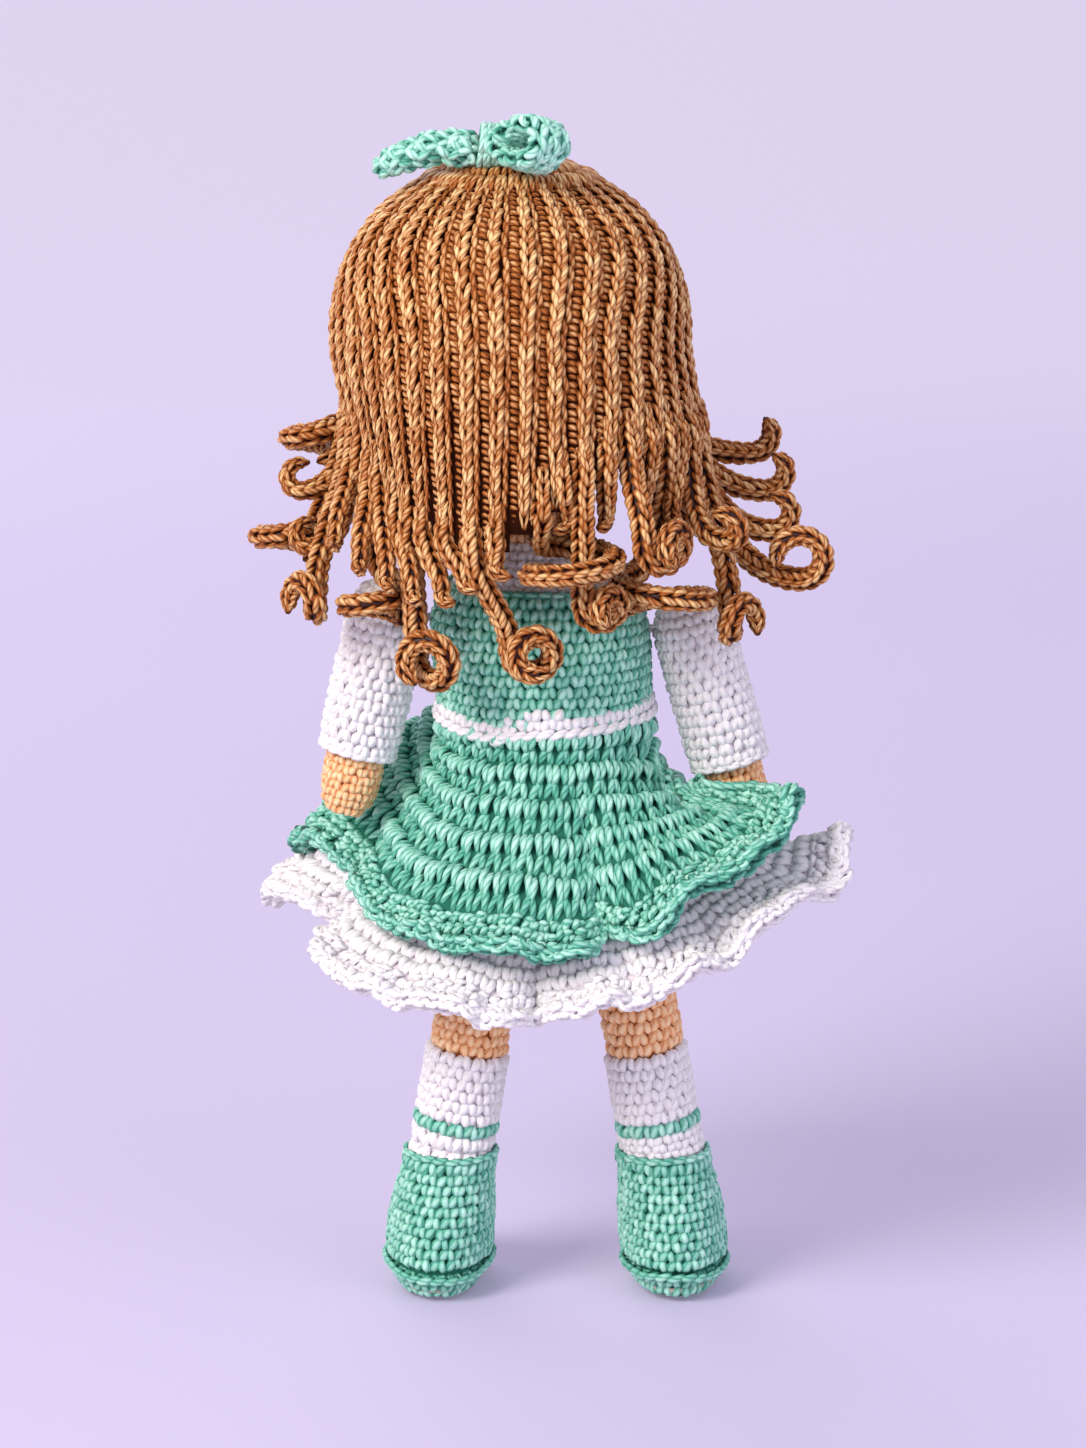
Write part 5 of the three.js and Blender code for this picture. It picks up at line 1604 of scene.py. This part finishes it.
def bowLoop(side):
    length = bowPlan["lengths"][side] - bowPlan["bandThick"]
    start = bowPlan["knotRadius"] + bowPlan["gap"] + bowPlan["bandThick"]
    shares = bowPlan["shares"][side]
    closed = [shares[-1], *shares, shares[0], shares[1]]
    steps, count = 180, len(closed) - 1
    line = smoothLines([[(start + length * out, 0, length * up) for out, up in closed]], steps + 1)[0]
    line = line[round(steps / count) : round(steps * (count - 1) / count) + 1]
    reach = reachAlong(line)
    normal = np.cross((0, 1, 0), unit(np.gradient(line, axis=0)))
    place = bowPlace(bowPlan["turns"][side])
    half = bowPlan["fullWidth"][side] / 2 - bowPlan["edgeDepth"]
    thick = bowPlan["bandThick"] / 2 - bowPlan["faceDepth"]
    slim = 1 - bowPlan["taper"][side] * np.clip((line[:, 0] - start) / length, 0, 1)

    def surface(u, s):
        u, s = np.broadcast_arrays(np.asarray(u, float), np.mod(np.asarray(s, float), reach[-1]))
        angle = fullTurn * u[..., None]
        square = np.sign(np.cos(angle)) * np.abs(np.cos(angle)) ** bowPlan["squareness"]
        flat = square * np.interp(s, reach, slim)[..., None]
        out = readLine(normal, s, reach) * thick * np.sin(angle)
        return place(readLine(line, s, reach) + np.array([0, half, 0]) * flat + out)

    broad = stitches["broad"]
    cells = rounds(surface, 0, reach[-1], broad)
    batches = layStitches(surface, cells, broad, -1, (0.02, 0.3), bowPlan["loose"], sides=10)
    yarnPiece(f"bow_stitches_{side}", batches, "mint", "head", [f"bow_loop_{side}"])
    middle = np.concatenate([line, line[:1]])[::6]
    coreSlim = np.concatenate([slim, slim[:1]])[::6]
    beside = half * bowPlan["coreShare"]
    core = place(np.array([middle + np.array([0, y, 0]) for y in (-beside, 0, beside)]))
    outs = np.tile(place(np.array([0.0, 1, 0])) - place(np.zeros(3)), (3, core.shape[1], 1))
    tubes = yarnTubes(core, outs, bowPlan["coreRadius"] * coreSlim, 1.0, 8, np.zeros(3))
    yarnPiece(f"bow_core_{side}", [tubes], "mint", "head")


def bowKnot():
    place = bowPlace()
    angle = np.linspace(0, fullTurn, 25)
    lines, outs = [], []
    for x in np.linspace(-1, 1, bowPlan["wraps"]) * (bowPlan["knotRadius"] - bowPlan["wrapInset"]):
        sway = rng.normal(0, bowPlan["wrapSway"])
        reach = rng.uniform(*bowPlan["wrapReach"])
        across, up = reach * np.cos(angle), (reach - bowPlan["wrapFlatter"]) * np.sin(angle)
        wrap = place(np.stack([x + sway * np.sin(angle), across, up], -1))
        lines.append(wrap)
        outs.append(wrap - place(np.array([x, 0, 0])))
    toneAndShade = rng.uniform(*bowPlan["wrapTint"], len(lines))
    wraps = yarnTubes(lines, outs, bowPlan["wrapRadius"], toneAndShade=toneAndShade)
    yarnPiece("bow_wraps", [wraps], "mint", "head", ["bow_knot"])


# tilts down from the middle of the face in degrees; the other sizes in millimetres
facePlan = {
    "noseTilt": 14,
    "noseHalfWidth": 1.9,
    "noseStrands": 7,
    # its width and height, and how much it narrows and lowers at its ends, as shares
    "noseShares": {"wide": 1.15, "tall": 0.72, "narrows": 0.8, "lowers": 0.75},
    "noseOut": (0.4, 1.35),
    "noseRadius": 0.42,
    "mouthTilt": 24,
    "mouthHalfWidth": 6,
    "mouthRise": 2.1,
    "mouthOut": 0.9,
    "mouthRadius": 0.8,
}


def onFace(side, down, reach):
    # point at angles to the doll's left and down from the middle of the face
    level = reach * np.cos(down)
    return np.stack([level * np.sin(side), -level * np.cos(side), -reach * np.sin(down)], -1) + headCentre


def facePieces():
    head = doll["headRadius"]
    share = np.linspace(-1, 1, 25)
    side = facePlan["mouthHalfWidth"] * share / head
    down = facePlan["mouthTilt"] * degree - facePlan["mouthRise"] * share**2 / head
    mouth = onFace(side, down, head + facePlan["mouthOut"])
    thread = yarnTubes([mouth], [mouth - headCentre], facePlan["mouthRadius"], 1, 10)
    yarnPiece("mouth_thread", [thread], "pink", "head", ["mouth"])
    # the nose is worked across in a few strands, longest and highest in its middle
    rows = []
    half, (least, rise) = facePlan["noseHalfWidth"], facePlan["noseOut"]
    share, nose = np.linspace(-1, 1, 9), facePlan["noseShares"]
    for k in np.linspace(-1, 1, facePlan["noseStrands"]):
        across = share * half * nose["wide"] * math.sqrt(1 - (nose["narrows"] * k) ** 2)
        down = facePlan["noseTilt"] * degree + nose["tall"] * half * k / head
        proud = head + least + rise * (1 - share**4) * math.sqrt(1 - (nose["lowers"] * k) ** 2)
        rows.append(onFace(across / head, np.full(9, down), proud))
    rows = np.array(rows)
    strands = yarnTubes(rows, rows - headCentre, facePlan["noseRadius"], 0.9)
    yarnPiece("nose_stitches", [strands], "skin", "head", ["nose"])


# Bought parts: acrylic eyes polished to a wet shine, moulded polyethylene washers with a dull skin,
# pressed insole board with soft flecks, and a sanded beech dowel with its grain along it
boughtParts = {
    "eyes": {"name": "black eye plastic", "colour": "#0b0807", "rough": 0.08, "level": 0.6, "ior": 1.49},
    "washers": {
        "name": "white washer plastic", "colour": "#e8e6e0", "rough": 0.45, "level": 0.469, "ior": 1.51,
    },
    "insoles": {
        "name": "grey insole board", "colour": "#b9b1a4", "rough": 0.9, "level": 0.186, "ior": 1.47,
    },
    "dowel": {"name": "beech dowel", "colour": "#d9b98a", "rough": 0.6, "level": 0.337, "ior": 1.5},
    "fleck": 1.111,  # mm, as board shows them
    "fleckRelief": 0.2,
    "grainWidth": 0.6667,  # mm; real beech flecks are 0.1 wide, too fine to show
    "grainLength": 11.11,
    "grainTones": ("#c49c66", "#e6cda2"),
}


def boughtPieces():
    eyes = newMaterial(**boughtParts["eyes"])[0]
    washers = newMaterial(**boughtParts["washers"])[0]
    insoles, tree, shader = newMaterial(**boughtParts["insoles"])
    spot = addNode(tree, "ShaderNodeTexCoord").outputs["Object"]
    scale = 1 / (boughtParts["fleck"] * mm)
    fleck = addNode(tree, "ShaderNodeTexNoise", {"Vector": spot, "Scale": scale, "Detail": 4.0})
    relief = {"Height": fleck, "Strength": 0.3, "Distance": boughtParts["fleckRelief"] * mm}
    bump = addNode(tree, "ShaderNodeBump", relief)
    tree.links.new(bump.outputs[0], shader.inputs["Normal"])
    dowel, tree, shader = newMaterial(**boughtParts["dowel"])
    spot = addNode(tree, "ShaderNodeTexCoord").outputs["Object"]
    slow = boughtParts["grainWidth"] / boughtParts["grainLength"]
    drawn = addNode(tree, "ShaderNodeMapping", {"Vector": spot, "Scale": (1.0, 1.0, slow)})
    scale = 1 / (boughtParts["grainWidth"] * mm)
    grain = addNode(tree, "ShaderNodeTexNoise", {"Vector": drawn, "Scale": scale, "Detail": 3.0})
    dark, light = (hexColour(tone) for tone in boughtParts["grainTones"])
    tones = addNode(tree, "ShaderNodeMix", {0: grain, 6: dark, 7: light}, data_type="RGBA")
    tree.links.new(tones.outputs[2], shader.inputs["Base Color"])
    for name, material in (("eye", eyes), ("eye_washer", washers), ("insole", insoles)):
        for side in ("left", "right"):
            dressNode(f"{name}_{side}", material)
    dressNode("neck_peg", dowel)


def dressNode(name, material):
    mesh = frame["nodes"][name].data
    mesh.materials.clear()
    mesh.materials.append(material)


# three strands that hold the arm to the torso; they lie apart to the front and upwards, in millimetres
armThread = {"out": 1.9, "past": 0.3, "apart": ((0.5, 0.3), (-0.5, 0.3), (0, -0.5)), "radius": 0.6}


def armStitches(side):
    sign = 1 if side == "left" else -1
    pivot = np.array(doll["armPivot"][side], float)
    inner = torso(armThread["out"])(np.array(0.0 if sign > 0 else 0.5), np.array(pivot[2]))
    outer = pivot - np.array([sign * (armPlan["sleeveRadius"] + armThread["past"]), 0, 0])
    t = np.linspace(0, 1, 7)[:, None]
    lines = [inner + (outer - inner) * t + np.array([0, y, z]) for y, z in armThread["apart"]]
    outs = np.tile([0.0, 0.3, 1.0], (3, 7, 1))
    thread = yarnTubes(lines, outs, armThread["radius"], 1)
    yarnPiece(f"arm_thread_{side}", [thread], "white", "torso", [f"arm_stitch_{side}"])


bodyPieces()
bodicePieces()
beltPieces()
log("body, bodice and belt done")
skirtPieces()
petticoatPieces()
log("skirt and petticoat done")
for name, side in (("left", 1), ("right", -1)):
    legPieces(name, side)
    shoePieces(name, side)
    solePad(name, side)
    armPieces(name)
    armStitches(name)
log("legs, shoes and arms done")
headPieces()
facePieces()
boughtPieces()
log("head, face and bought parts done")
hairCap()
log("wig done")
for letter, shares in curlPlan["shares"].items():
    curlPiece(letter, shares)
loosePiece()
for side in ("left", "right"):
    bowLoop(side)
bowKnot()
log(f"curls and bow done, {sum(yarnFaces)} faces of yarn")

# The photograph's frame: 0.25 mm a pixel at the doll, 1448 rows, seen from 12 degrees above
cameraPlan = {
    "distance": 1200,
    "elevation": 12,
    "aim": (0.5, 0, 148.6),
    "mmPerPixel": 0.25,
    "rows": 1448,
    "film": 36,
    "clip": (0.05, 20),
}


def placeCamera():
    camera = bpy.data.objects.new("camera", bpy.data.cameras.new("camera"))
    bpy.context.scene.collection.objects.link(camera)
    tilt = cameraPlan["elevation"] * degree
    away = Vector((0, math.cos(tilt), math.sin(tilt))) * cameraPlan["distance"] * mm
    camera.location = Vector((np.array(cameraPlan["aim"]) + shift) * mm) + away
    camera.rotation_euler = (math.pi / 2 - tilt, 0, math.pi)
    film = cameraPlan["film"]
    camera.data.sensor_width = film
    camera.data.lens = film * cameraPlan["distance"] / cameraPlan["mmPerPixel"] / cameraPlan["rows"]
    camera.data.clip_start, camera.data.clip_end = cameraPlan["clip"]
    bpy.context.scene.camera = camera


# Lilac backdrop paper, matt and even, one sheet that runs under the doll and curves up behind it; sizes
# in metres. The eye sees part of it by its own even light, and further off nearly all of it, as in a
# white studio, so that the shadow stays soft and the distance has one tone
paperPlan = {
    "front": 5.0,
    "half": 5.0,
    "bendStart": -1.6,
    "bend": 0.6,
    "top": 4.0,
    "colour": "#d8d2e4",
    "lit": ("#bbb5d5", "#4c4858"),
    "own": "#e1d6f1",
    "ownFar": 0.64,
    "ownNear": (0.18, 0.23),
    "nearFade": (0.15, 0.8),
    "farFade": (0.9, 2.0),
    "rough": 0.9,
    "level": 0.2,
    "ior": 1.45,
}


def seenRays(tree):
    # 1 for the camera, and for what glossy and clear surfaces show of the backdrop
    rays = addNode(tree, "ShaderNodeLightPath").outputs
    shown = {0: rays["Is Camera Ray"], 1: rays["Is Glossy Ray"]}
    mirrored = addNode(tree, "ShaderNodeMath", shown, operation="MAXIMUM")
    either = {0: mirrored, 1: rays["Is Transmission Ray"]}
    return addNode(tree, "ShaderNodeMath", either, operation="MAXIMUM").outputs[0]


def paperMaterial():
    plan = paperPlan
    finish = plan["rough"], plan["level"], plan["ior"]
    paper, tree, shader = newMaterial("lilac paper", plan["colour"], *finish)
    seen = seenRays(tree)
    place = addNode(tree, "ShaderNodeTexCoord").outputs["Object"]
    flat = addNode(tree, "ShaderNodeVectorMath", {0: place, 1: (1.0, 1.0, 0.0)}, operation="MULTIPLY")
    away = addNode(tree, "ShaderNodeVectorMath", {0: flat}, operation="LENGTH").outputs["Value"]
    start, end = plan["farFade"]
    fade = {"Value": away, "From Min": start, "From Max": end}
    far = addNode(tree, "ShaderNodeMapRange", fade, interpolation_type="SMOOTHSTEP")
    (start, end), (least, most) = plan["nearFade"], plan["ownNear"]
    fade = {"Value": away, "From Min": start, "From Max": end, "To Min": least, "To Max": most}
    near = addNode(tree, "ShaderNodeMapRange", fade)
    own = addNode(tree, "ShaderNodeMath", {0: far, 1: plan["ownFar"], 2: near}, operation="MULTIPLY_ADD")
    shown = addNode(tree, "ShaderNodeMath", {0: own, 1: seen}, operation="MULTIPLY")
    tree.links.new(shown.outputs[0], shader.inputs["Emission Strength"])
    shader.inputs["Emission Color"].default_value = hexColour(plan["own"])
    close, distant = (hexColour(tone) for tone in plan["lit"])
    lit = addNode(tree, "ShaderNodeMix", {0: far, 6: close, 7: distant}, data_type="RGBA").outputs[2]
    colour = {0: seen, 6: hexColour(plan["colour"]), 7: lit}
    mixed = addNode(tree, "ShaderNodeMix", colour, data_type="RGBA")
    tree.links.new(mixed.outputs[2], shader.inputs["Base Color"])
    return paper


def backdrop():
    start, bend, half = paperPlan["bendStart"], paperPlan["bend"], paperPlan["half"]
    profile = [(paperPlan["front"], 0.0), (start, 0.0)]
    for angle in np.linspace(0.1, math.pi / 2, 12):
        profile.append((start - bend * math.sin(angle), bend - bend * math.cos(angle)))
    profile.append((start - bend, paperPlan["top"]))
    points = np.array([(x, y, z) for y, z in profile for x in (-half, half)]) / mm - shift
    index = np.arange(len(profile) * 2).reshape(-1, 2)
    quads = np.stack([index[:-1, 0], index[:-1, 1], index[1:, 1], index[1:, 0]], -1)
    sheet = meshFrom("backdrop", points, quads.ravel(), np.full(len(quads), 4))
    sheet.data.materials.append(paperMaterial())
    sheet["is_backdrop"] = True


# Lamps: place and size in metres, watts and colour; the key stands where the photograph's does, on the
# doll's left behind the camera. The world gives soft light from all round
studioPlan = {
    "lamps": {
        "key": ((1.05, 1.15, 1.15), 0.9, 31, "#fff4e8"),
        "fill": ((-1.2, 1.3, 0.8), 1.6, 10, "#f6f0ff"),
        "front": ((0.7, -1.6, 1.2), 1.6, 13, "#fff6ee"),
    },
    "aim": (0, 0, 0.15),
    "soft": ("#f3eef9", 0.55),
    "beyond": "#ddd0f0",
}


def areaLight(name, place, size, watts, colour):
    light = bpy.data.objects.new(name, bpy.data.lights.new(name, "AREA"))
    light.data.shape = "DISK"
    light.data.size = size
    light.data.energy = watts
    light.data.color = hexColour(colour)[:3]
    light.location = place
    towards = Vector(studioPlan["aim"]) - Vector(place)
    light.rotation_euler = towards.to_track_quat("-Z", "Y").to_euler()
    bpy.context.scene.collection.objects.link(light)


def studio():
    for name, lamp in studioPlan["lamps"].items():
        areaLight(name, *lamp)
    world = bpy.data.worlds.new("studio")
    bpy.context.scene.world = world
    world.use_nodes = True
    # beyond the paper the camera sees the paper's own colour, where a strength of 1 is as written
    tree = world.node_tree
    seen = seenRays(tree)
    soft, strength = studioPlan["soft"]
    tones = {0: seen, 6: hexColour(soft), 7: hexColour(studioPlan["beyond"])}
    colour = addNode(tree, "ShaderNodeMix", tones, data_type="RGBA")
    levels = {0: seen, 1: 1 - strength, 2: strength}
    level = addNode(tree, "ShaderNodeMath", levels, operation="MULTIPLY_ADD")
    background = tree.nodes["Background"]
    tree.links.new(colour.outputs[2], background.inputs[0])
    tree.links.new(level.outputs[0], background.inputs[1])
    bpy.context.scene.view_settings.view_transform = "Standard"


def writeSizes():
    lows, highs = [], []
    depsgraph = bpy.context.evaluated_depsgraph_get()
    for piece in bpy.context.scene.objects:
        if piece.type not in {"MESH", "CURVE"} or piece.hide_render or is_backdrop(piece):
            continue
        corners = [piece.matrix_world @ Vector(c) for c in piece.evaluated_get(depsgraph).bound_box]
        lows.append(np.min(corners, 0))
        highs.append(np.max(corners, 0))


placeCamera()
backdrop()
studio()
log("camera, paper and lamps done")
writeSizes()
